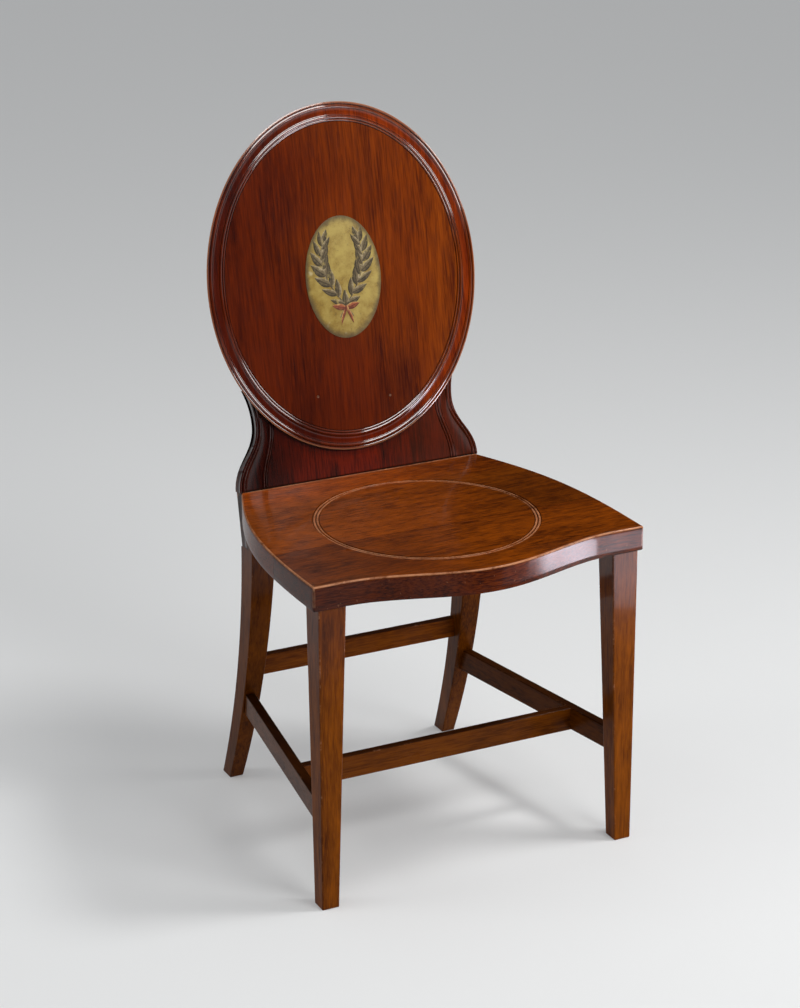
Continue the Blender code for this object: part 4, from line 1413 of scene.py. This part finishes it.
def ground_paint():
    """Aged ochre paint with a soft dark outline and fine cracks."""
    s, c = sizes(), colours()
    material, tree, shader = new_material("painted_ground")
    place = oval_place(tree)
    share = oval_place(tree, (2 / s.painted_width, 0.0, 2 / s.painted_height))
    radius = radius_of(tree, share)
    patch = noise(tree, place, detail=4.0, rough=0.65, scale=42.0)
    speck = noise(tree, place, detail=2.0, scale=320.0)
    x, _, z = parts_of(tree, share)
    aged = sums(tree, "MULTIPLY_ADD", patch, 1.7, sums(tree, "MULTIPLY_ADD", z, -0.14, -0.20))
    aged = sums(tree, "MULTIPLY_ADD", x, -0.12, aged)
    ground = blend(tree, ramp(tree, aged, 0.35, 1.0), c.paint_ground, c.paint_shade)
    cracks = add(
        tree, "ShaderNodeTexVoronoi", {"Vector": place, "Scale": 260.0}, feature="DISTANCE_TO_EDGE"
    ).outputs["Distance"]
    crack = sums(tree, "SUBTRACT", 1.0, ramp(tree, cracks, 0.0, 0.055))
    crack = sums(tree, "MULTIPLY", crack, ramp(tree, patch, 0.42, 0.66))
    ground = blend(tree, sums(tree, "MULTIPLY", crack, 0.60), ground, (0.10, 0.070, 0.022))
    ground = blend(tree, ramp(tree, speck, 0.62, 0.78, 0.0, 0.55), ground, (0.16, 0.11, 0.03))
    dab = noise(tree, place, detail=2.0, scale=55.0)
    ground = blend(tree, ramp(tree, dab, 0.66, 0.78, 0.0, 0.7), ground, (0.60, 0.53, 0.33))
    ragged = sums(tree, "MULTIPLY_ADD", patch, 0.16, sums(tree, "ADD", radius, -0.08))
    rim = ramp(tree, ragged, 0.86, 1.0)
    ground = blend(tree, sums(tree, "MULTIPLY", rim, 0.80), ground, (0.060, 0.034, 0.012))
    tree.links.new(ground, shader.inputs["Base Color"])
    tree.links.new(ramp(tree, patch, 0.3, 0.7, 0.34, 0.50), shader.inputs["Roughness"])
    bump(tree, shader, sums(tree, "MULTIPLY_ADD", crack, -0.6, speck), 0.00008, 0.7)
    return material


def brush_paint(name, dark, middle, light):
    """Paint of brushed shapes, from a dark side to a light side, rubbed thin in places."""
    c = colours()
    material, tree, shader = new_material(name)
    place = oval_place(tree)
    tone = attribute(tree, "tone")
    stroke = noise(tree, place, detail=3.0, rough=0.65, scale=260.0)
    tone = sums(tree, "MULTIPLY_ADD", sums(tree, "SUBTRACT", stroke, 0.5), 0.9, tone, clamp=True)
    paint = blend(tree, ramp(tree, tone, 0.08, 0.45), dark, middle)
    paint = blend(tree, ramp(tree, tone, 0.55, 0.95), paint, light)
    thin = noise(tree, place, detail=3.0, rough=0.6, scale=120.0)
    paint = blend(tree, ramp(tree, thin, 0.55, 0.72, 0.0, 0.6), paint, c.paint_ground)
    tree.links.new(paint, shader.inputs["Base Color"])
    tree.links.new(ramp(tree, stroke, 0.3, 0.7, 0.36, 0.5), shader.inputs["Roughness"])
    bump(tree, shader, stroke, 0.00006, 0.6)
    return material


def brushed_leaf(name, long, wide, bend, turn, place):
    """One brushed leaf in the upright oval, from its stalk at a place towards a turn from straight up."""
    clear_selection()
    bpy.ops.mesh.primitive_grid_add(x_subdivisions=LEAF_COLUMNS, y_subdivisions=LEAF_ROWS, size=2.0)
    leaf = adopt(name)
    tone = leaf.data.attributes.new("tone", "FLOAT", "POINT")
    lit = 1.0 if math.sin(turn) < 0.2 else -1.0
    for vert in leaf.data.vertices:
        across, share = vert.co.x, (vert.co.y + 1) / 2
        half = wide / 2 * (0.05 + 0.95 * math.sin(math.pi * share**0.8) ** 0.9)
        rib = 0.35 * max(0.0, 1 - abs(across) * 4)
        tone.data[vert.index].value = 0.42 + 0.42 * lit * across - rib
        vert.co = (across * half + bend * long * share**2, -0.00008 * (1 - across**2), share * long)
    edit()
    pick_all()
    draw_out(0.0, BRUSH_THICKNESS, 0.0)
    turn_out()
    leave()
    leaf.rotation_euler.y = turn
    leaf.location = place
    apply_place(leaf)
    return leaf


def branch_point(side, share):
    """A point of one branch of the painted wreath and how far it turns outwards there."""
    s = sizes()
    rise, spread = 0.62 * s.painted_height, 0.25 * s.painted_width
    swing = math.radians(-28 + 150 * share)
    x = spread * math.sin(swing) + 0.10 * spread
    z = -0.33 * s.painted_height + rise * share
    lean_out = math.atan2(spread * math.cos(swing) * math.radians(150), rise)
    return side * x, z, side * lean_out


def joined(name, pieces):
    """Several shapes made one piece."""
    clear_selection()
    for piece in pieces:
        piece.select_set(True)
    bpy.context.view_layer.objects.active = pieces[0]
    bpy.ops.object.join()
    return adopt(name)


class HALLCHAIR_OT_painted_oval(bpy.types.Operator):
    """Models the painted oval: its aged ground, a wreath of leaves and the bow that ties it"""

    bl_idname = "hallchair.painted_oval"
    bl_label = "Painted Oval"

    def execute(self, context):
        s = sizes()
        face = -s.oval_proud - GAP
        clear_selection()
        bpy.ops.mesh.primitive_circle_add(
            vertices=PAINTED_SIDES, radius=1.0, fill_type="NGON", rotation=(math.pi / 2, 0.0, 0.0)
        )
        ground = adopt("painted_ground")
        ground.scale = (s.painted_width / 2, s.painted_height / 2, 1.0)
        ground.location = (0.0, face, s.oval_centre)
        apply_place(ground)
        edit()
        pick_all()
        draw_out(0.0, -PAINT_THICKNESS, 0.0)
        bpy.ops.mesh.inset(thickness=PAINT_EDGE, depth=0.0)
        bpy.ops.transform.translate(value=(0.0, -PAINT_SWELL, 0.0))
        turn_out()
        leave()
        lean(ground)

        front = face - BRUSH_RISE
        leaves = []
        for side, word in SIDES:
            for k in range(2 * LEAF_PAIRS):
                x, z, turn = branch_point(side, k / (2 * LEAF_PAIRS))
                after_x, after_z, _ = branch_point(side, (k + 1.2) / (2 * LEAF_PAIRS))
                run = Vector((after_x - x, after_z - z))
                place = (x, front, s.oval_centre + z)
                leaves.append(brushed_leaf(f"twig_{word}_{k}", run.length, 0.0019, 0.0, turn, place))
            for k in range(LEAF_PAIRS):
                share = (k + 1.2) / (LEAF_PAIRS + 0.6)
                x, z, turn = branch_point(side, share)
                long = 0.0235 * (0.80 + 0.35 * math.sin(math.pi * share))
                for way in (-1, 1):
                    place = (x, front - 0.00003 * (k + 1), s.oval_centre + z + 0.0022 * way * side)
                    spread = turn + way * math.radians(46 - 16 * share)
                    wide = long * (0.40 + 0.05 * math.sin(5.0 * k + way))
                    leaves.append(brushed_leaf(f"leaf_{word}_{k}", long, wide, -0.14 * way, spread, place))
            x, z, turn = branch_point(side, 1.0)
            place = (x, front, s.oval_centre + z)
            leaves.append(brushed_leaf(f"tip_{word}", 0.020, 0.0078, 0.0, turn, place))
        wreath = joined("painted_wreath", leaves)
        lean(wreath)
        bow = []
        knot = (0.0, front - 0.0003, s.oval_centre - 0.255 * s.painted_height)
        for side, word in SIDES:
            loop, tail = side * math.radians(76), side * math.radians(146)
            bow.append(brushed_leaf(f"loop_{word}", 0.021, 0.0090, 0.0, loop, knot))
            bow.append(brushed_leaf(f"tail_{word}", 0.023, 0.0048, side * 0.2, tail, knot))
        bow.append(brushed_leaf("knot", 0.008, 0.0060, 0.0, 0.0, (0.0, knot[1] - 0.0001, knot[2] - 0.0040)))
        ribbon = joined("painted_ribbon", bow)
        lean(ribbon)

        polish(ground, ground_paint(), "ochre_paint", "painted_cartouche")
        grey = brush_paint("leaf_paint", (0.036, 0.025, 0.010), (0.145, 0.105, 0.048), (0.420, 0.335, 0.190))
        red = brush_paint("ribbon_paint", (0.120, 0.022, 0.008), (0.330, 0.080, 0.030), (0.640, 0.450, 0.150))
        polish(wreath, grey, "ochre_paint")
        polish(ribbon, red, "ochre_paint")
        return {"FINISHED"}


# Pieces kept as they are


class HALLCHAIR_OT_hidden_pieces(bpy.types.Operator):
    """Gives the rail, blocks, battens, screws and pins their finishes"""

    bl_idname = "hallchair.hidden_pieces"
    bl_label = "Hidden Pieces"

    def execute(self, context):
        across = self.plain_wood("plain_wood_across", ALONG_X)
        deep = self.plain_wood("plain_wood_deep", ALONG_Y)
        iron, pin = self.iron(), self.pin_wood()
        finishes = {
            "batten_screw": iron,
            "back_screw": iron,
            "panel_pin": pin,
            "seat_batten": deep,
            "rear_rail": across,
            "glue_block": across,
        }
        for name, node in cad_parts.items():
            for start, finish in finishes.items():
                if name.startswith(start):
                    for slot in node.material_slots:
                        slot.material = finish
        return {"FINISHED"}

    def plain_wood(self, name, turn):
        c = colours()
        material, tree, shader = new_material(name)
        vector = placed(tree, turn)
        grain = add(tree, "ShaderNodeGroup", {}, node_tree=mahogany_grain())
        tree.links.new(vector, grain.inputs["Vector"])
        grain.inputs["Dark"].default_value = (*c.plain_dark, 1.0)
        grain.inputs["Light"].default_value = (*c.plain_light, 1.0)
        dust = noise(tree, vector, detail=4.0, rough=0.7, scale=30.0)
        dust_and_shade = ramp(tree, dust, 0.45, 0.75, 0.0, 0.6)
        aged = blend(tree, dust_and_shade, grain.outputs["Colour"], (0.10, 0.062, 0.032))
        tree.links.new(aged, shader.inputs["Base Color"])
        tree.links.new(ramp(tree, dust, 0.3, 0.7, 0.62, 0.80), shader.inputs["Roughness"])
        bump(tree, shader, grain.outputs["Height"], 0.00015, 0.8)
        return material

    def iron(self):
        material, tree, shader = new_material("screw_iron")
        vector = placed(tree)
        rust = noise(tree, vector, detail=4.0, rough=0.7, scale=420.0)
        skin = blend(tree, ramp(tree, rust, 0.46, 0.66), (0.105, 0.098, 0.090), (0.120, 0.050, 0.022))
        tree.links.new(skin, shader.inputs["Base Color"])
        tree.links.new(ramp(tree, rust, 0.4, 0.7, 1.0, 0.25), shader.inputs["Metallic"])
        tree.links.new(ramp(tree, rust, 0.4, 0.7, 0.42, 0.75), shader.inputs["Roughness"])
        bump(tree, shader, rust, 0.0001, 0.6)
        return material

    def pin_wood(self):
        material, tree, shader = new_material("pin_wood")
        vector = placed(tree)
        spot = noise(tree, vector, detail=3.0, rough=0.6, scale=900.0)
        skin = blend(tree, ramp(tree, spot, 0.35, 0.65), (0.090, 0.026, 0.008), (0.230, 0.100, 0.045))
        tree.links.new(skin, shader.inputs["Base Color"])
        tree.links.new(ramp(tree, spot, 0.3, 0.7, 0.35, 0.55), shader.inputs["Roughness"])
        return material


# Stage


class HALLCHAIR_OT_stage(bpy.types.Operator):
    """Sets the floor, the studio light and the camera"""

    bl_idname = "hallchair.stage"
    bl_label = "Studio Stage"

    def execute(self, context):
        self.floor()
        self.lamps()
        self.camera()
        return {"FINISHED"}

    def floor(self):
        clear_selection()
        bpy.ops.mesh.primitive_plane_add(size=FLOOR_SIZE)
        floor = adopt("studio_floor")
        material, tree, shader = new_material("studio_floor")
        shader.inputs["Base Color"].default_value = (*colours().floor, 1.0)
        shader.inputs["Roughness"].default_value = 0.9
        shader.inputs["Specular IOR Level"].default_value = 0.1
        rays = add(tree, "ShaderNodeLightPath").outputs
        seen = sums(tree, "MAXIMUM", rays["Is Camera Ray"], rays["Is Glossy Ray"])
        seen = sums(tree, "MAXIMUM", seen, rays["Is Transmission Ray"])
        glow = sums(tree, "MULTIPLY", seen, FLOOR_GLOW)
        shader.inputs["Emission Color"].default_value = (1.0, 1.0, 1.0, 1.0)
        tree.links.new(glow, shader.inputs["Emission Strength"])
        floor.data.materials.append(material)

    def lamps(self):
        for name, place, aim, size, power in LAMPS:
            low = name.startswith("low")
            data = bpy.data.lights.new(f"{name}_lamp", "AREA")
            data.shape = "RECTANGLE"
            data.energy = power
            data.color = LOW_LAMP_TINT if low else LAMP_TINT
            data.size, data.size_y = size
            if low:
                data.spread = LOW_LAMP_SPREAD
            lamp = bpy.data.objects.new(f"{name}_lamp", data)
            bpy.context.scene.collection.objects.link(lamp)
            lamp.location = place
            lamp.rotation_euler = (Vector(aim) - Vector(place)).to_track_quat("-Z", "Y").to_euler()
        world = bpy.data.worlds.new("studio_world")
        bpy.context.scene.world = world
        world.use_nodes = True
        tree = world.node_tree
        sky = tree.nodes["Background"]
        sky.inputs["Color"].default_value = (0.94, 0.97, 1.0, 1.0)
        height = parts_of(tree, add(tree, "ShaderNodeTexCoord").outputs["Generated"])[2]
        horizon = ramp(tree, height, 0.006, 0.013, 0.41, 0.0)
        strength = sums(tree, "ADD", horizon, ramp(tree, height, 0.40, 1.0, 0.012, 0.66))
        tree.links.new(strength, sky.inputs["Strength"])

    def camera(self):
        data = bpy.data.cameras.new("photo_camera")
        data.lens = CAMERA_LENS
        data.sensor_width = 36.0
        camera = bpy.data.objects.new("photo_camera", data)
        bpy.context.scene.collection.objects.link(camera)
        shift = Vector((0.0, front_line(), 0.0))
        look = (CAMERA_AIM - CAMERA_EYE).to_track_quat("-Z", "Y")
        roll = Matrix.Rotation(CAMERA_ROLL, 4, "Z")
        camera.matrix_world = Matrix.Translation(CAMERA_EYE + shift) @ look.to_matrix().to_4x4() @ roll
        bpy.context.scene.camera = camera
        bpy.context.scene.view_settings.view_transform = "Standard"


class HALLCHAIR_PT_panel(bpy.types.Panel):
    """Lists the chair's pieces, sizes and colours"""

    bl_idname = "HALLCHAIR_PT_panel"
    bl_label = "Hall Chair"
    bl_space_type = "VIEW_3D"
    bl_region_type = "UI"
    bl_category = "Hall Chair"

    def draw(self, context):
        layout = self.layout
        for operator in OPERATORS:
            layout.operator(operator.bl_idname)
        for group in (sizes(), colours()):
            box = layout.box()
            for name in group.bl_rna.properties.keys():
                if name not in ("rna_type", "name"):
                    box.prop(group, name)


OPERATORS = (
    HALLCHAIR_OT_oval_panel,
    HALLCHAIR_OT_splat,
    HALLCHAIR_OT_painted_oval,
    HALLCHAIR_OT_seat,
    HALLCHAIR_OT_front_legs,
    HALLCHAIR_OT_rear_legs,
    HALLCHAIR_OT_stretchers,
    HALLCHAIR_OT_hidden_pieces,
    HALLCHAIR_OT_stage,
)
CLASSES = (HallChairSizes, HallChairColours, *OPERATORS, HALLCHAIR_PT_panel)


def register():
    for entry in CLASSES:
        bpy.utils.register_class(entry)
    bpy.types.Scene.hall_chair_sizes = PointerProperty(type=HallChairSizes)
    bpy.types.Scene.hall_chair_colours = PointerProperty(type=HallChairColours)


def unregister():
    del bpy.types.Scene.hall_chair_colours
    del bpy.types.Scene.hall_chair_sizes
    for entry in reversed(CLASSES):
        bpy.utils.unregister_class(entry)


def main():
    register()
    bpy.ops.hallchair.oval_panel()
    bpy.ops.hallchair.splat()
    bpy.ops.hallchair.painted_oval()
    bpy.ops.hallchair.seat()
    bpy.ops.hallchair.front_legs()
    bpy.ops.hallchair.rear_legs()
    bpy.ops.hallchair.stretchers()
    bpy.ops.hallchair.hidden_pieces()
    bpy.ops.hallchair.stage()


if __name__ == "__main__":
    main()
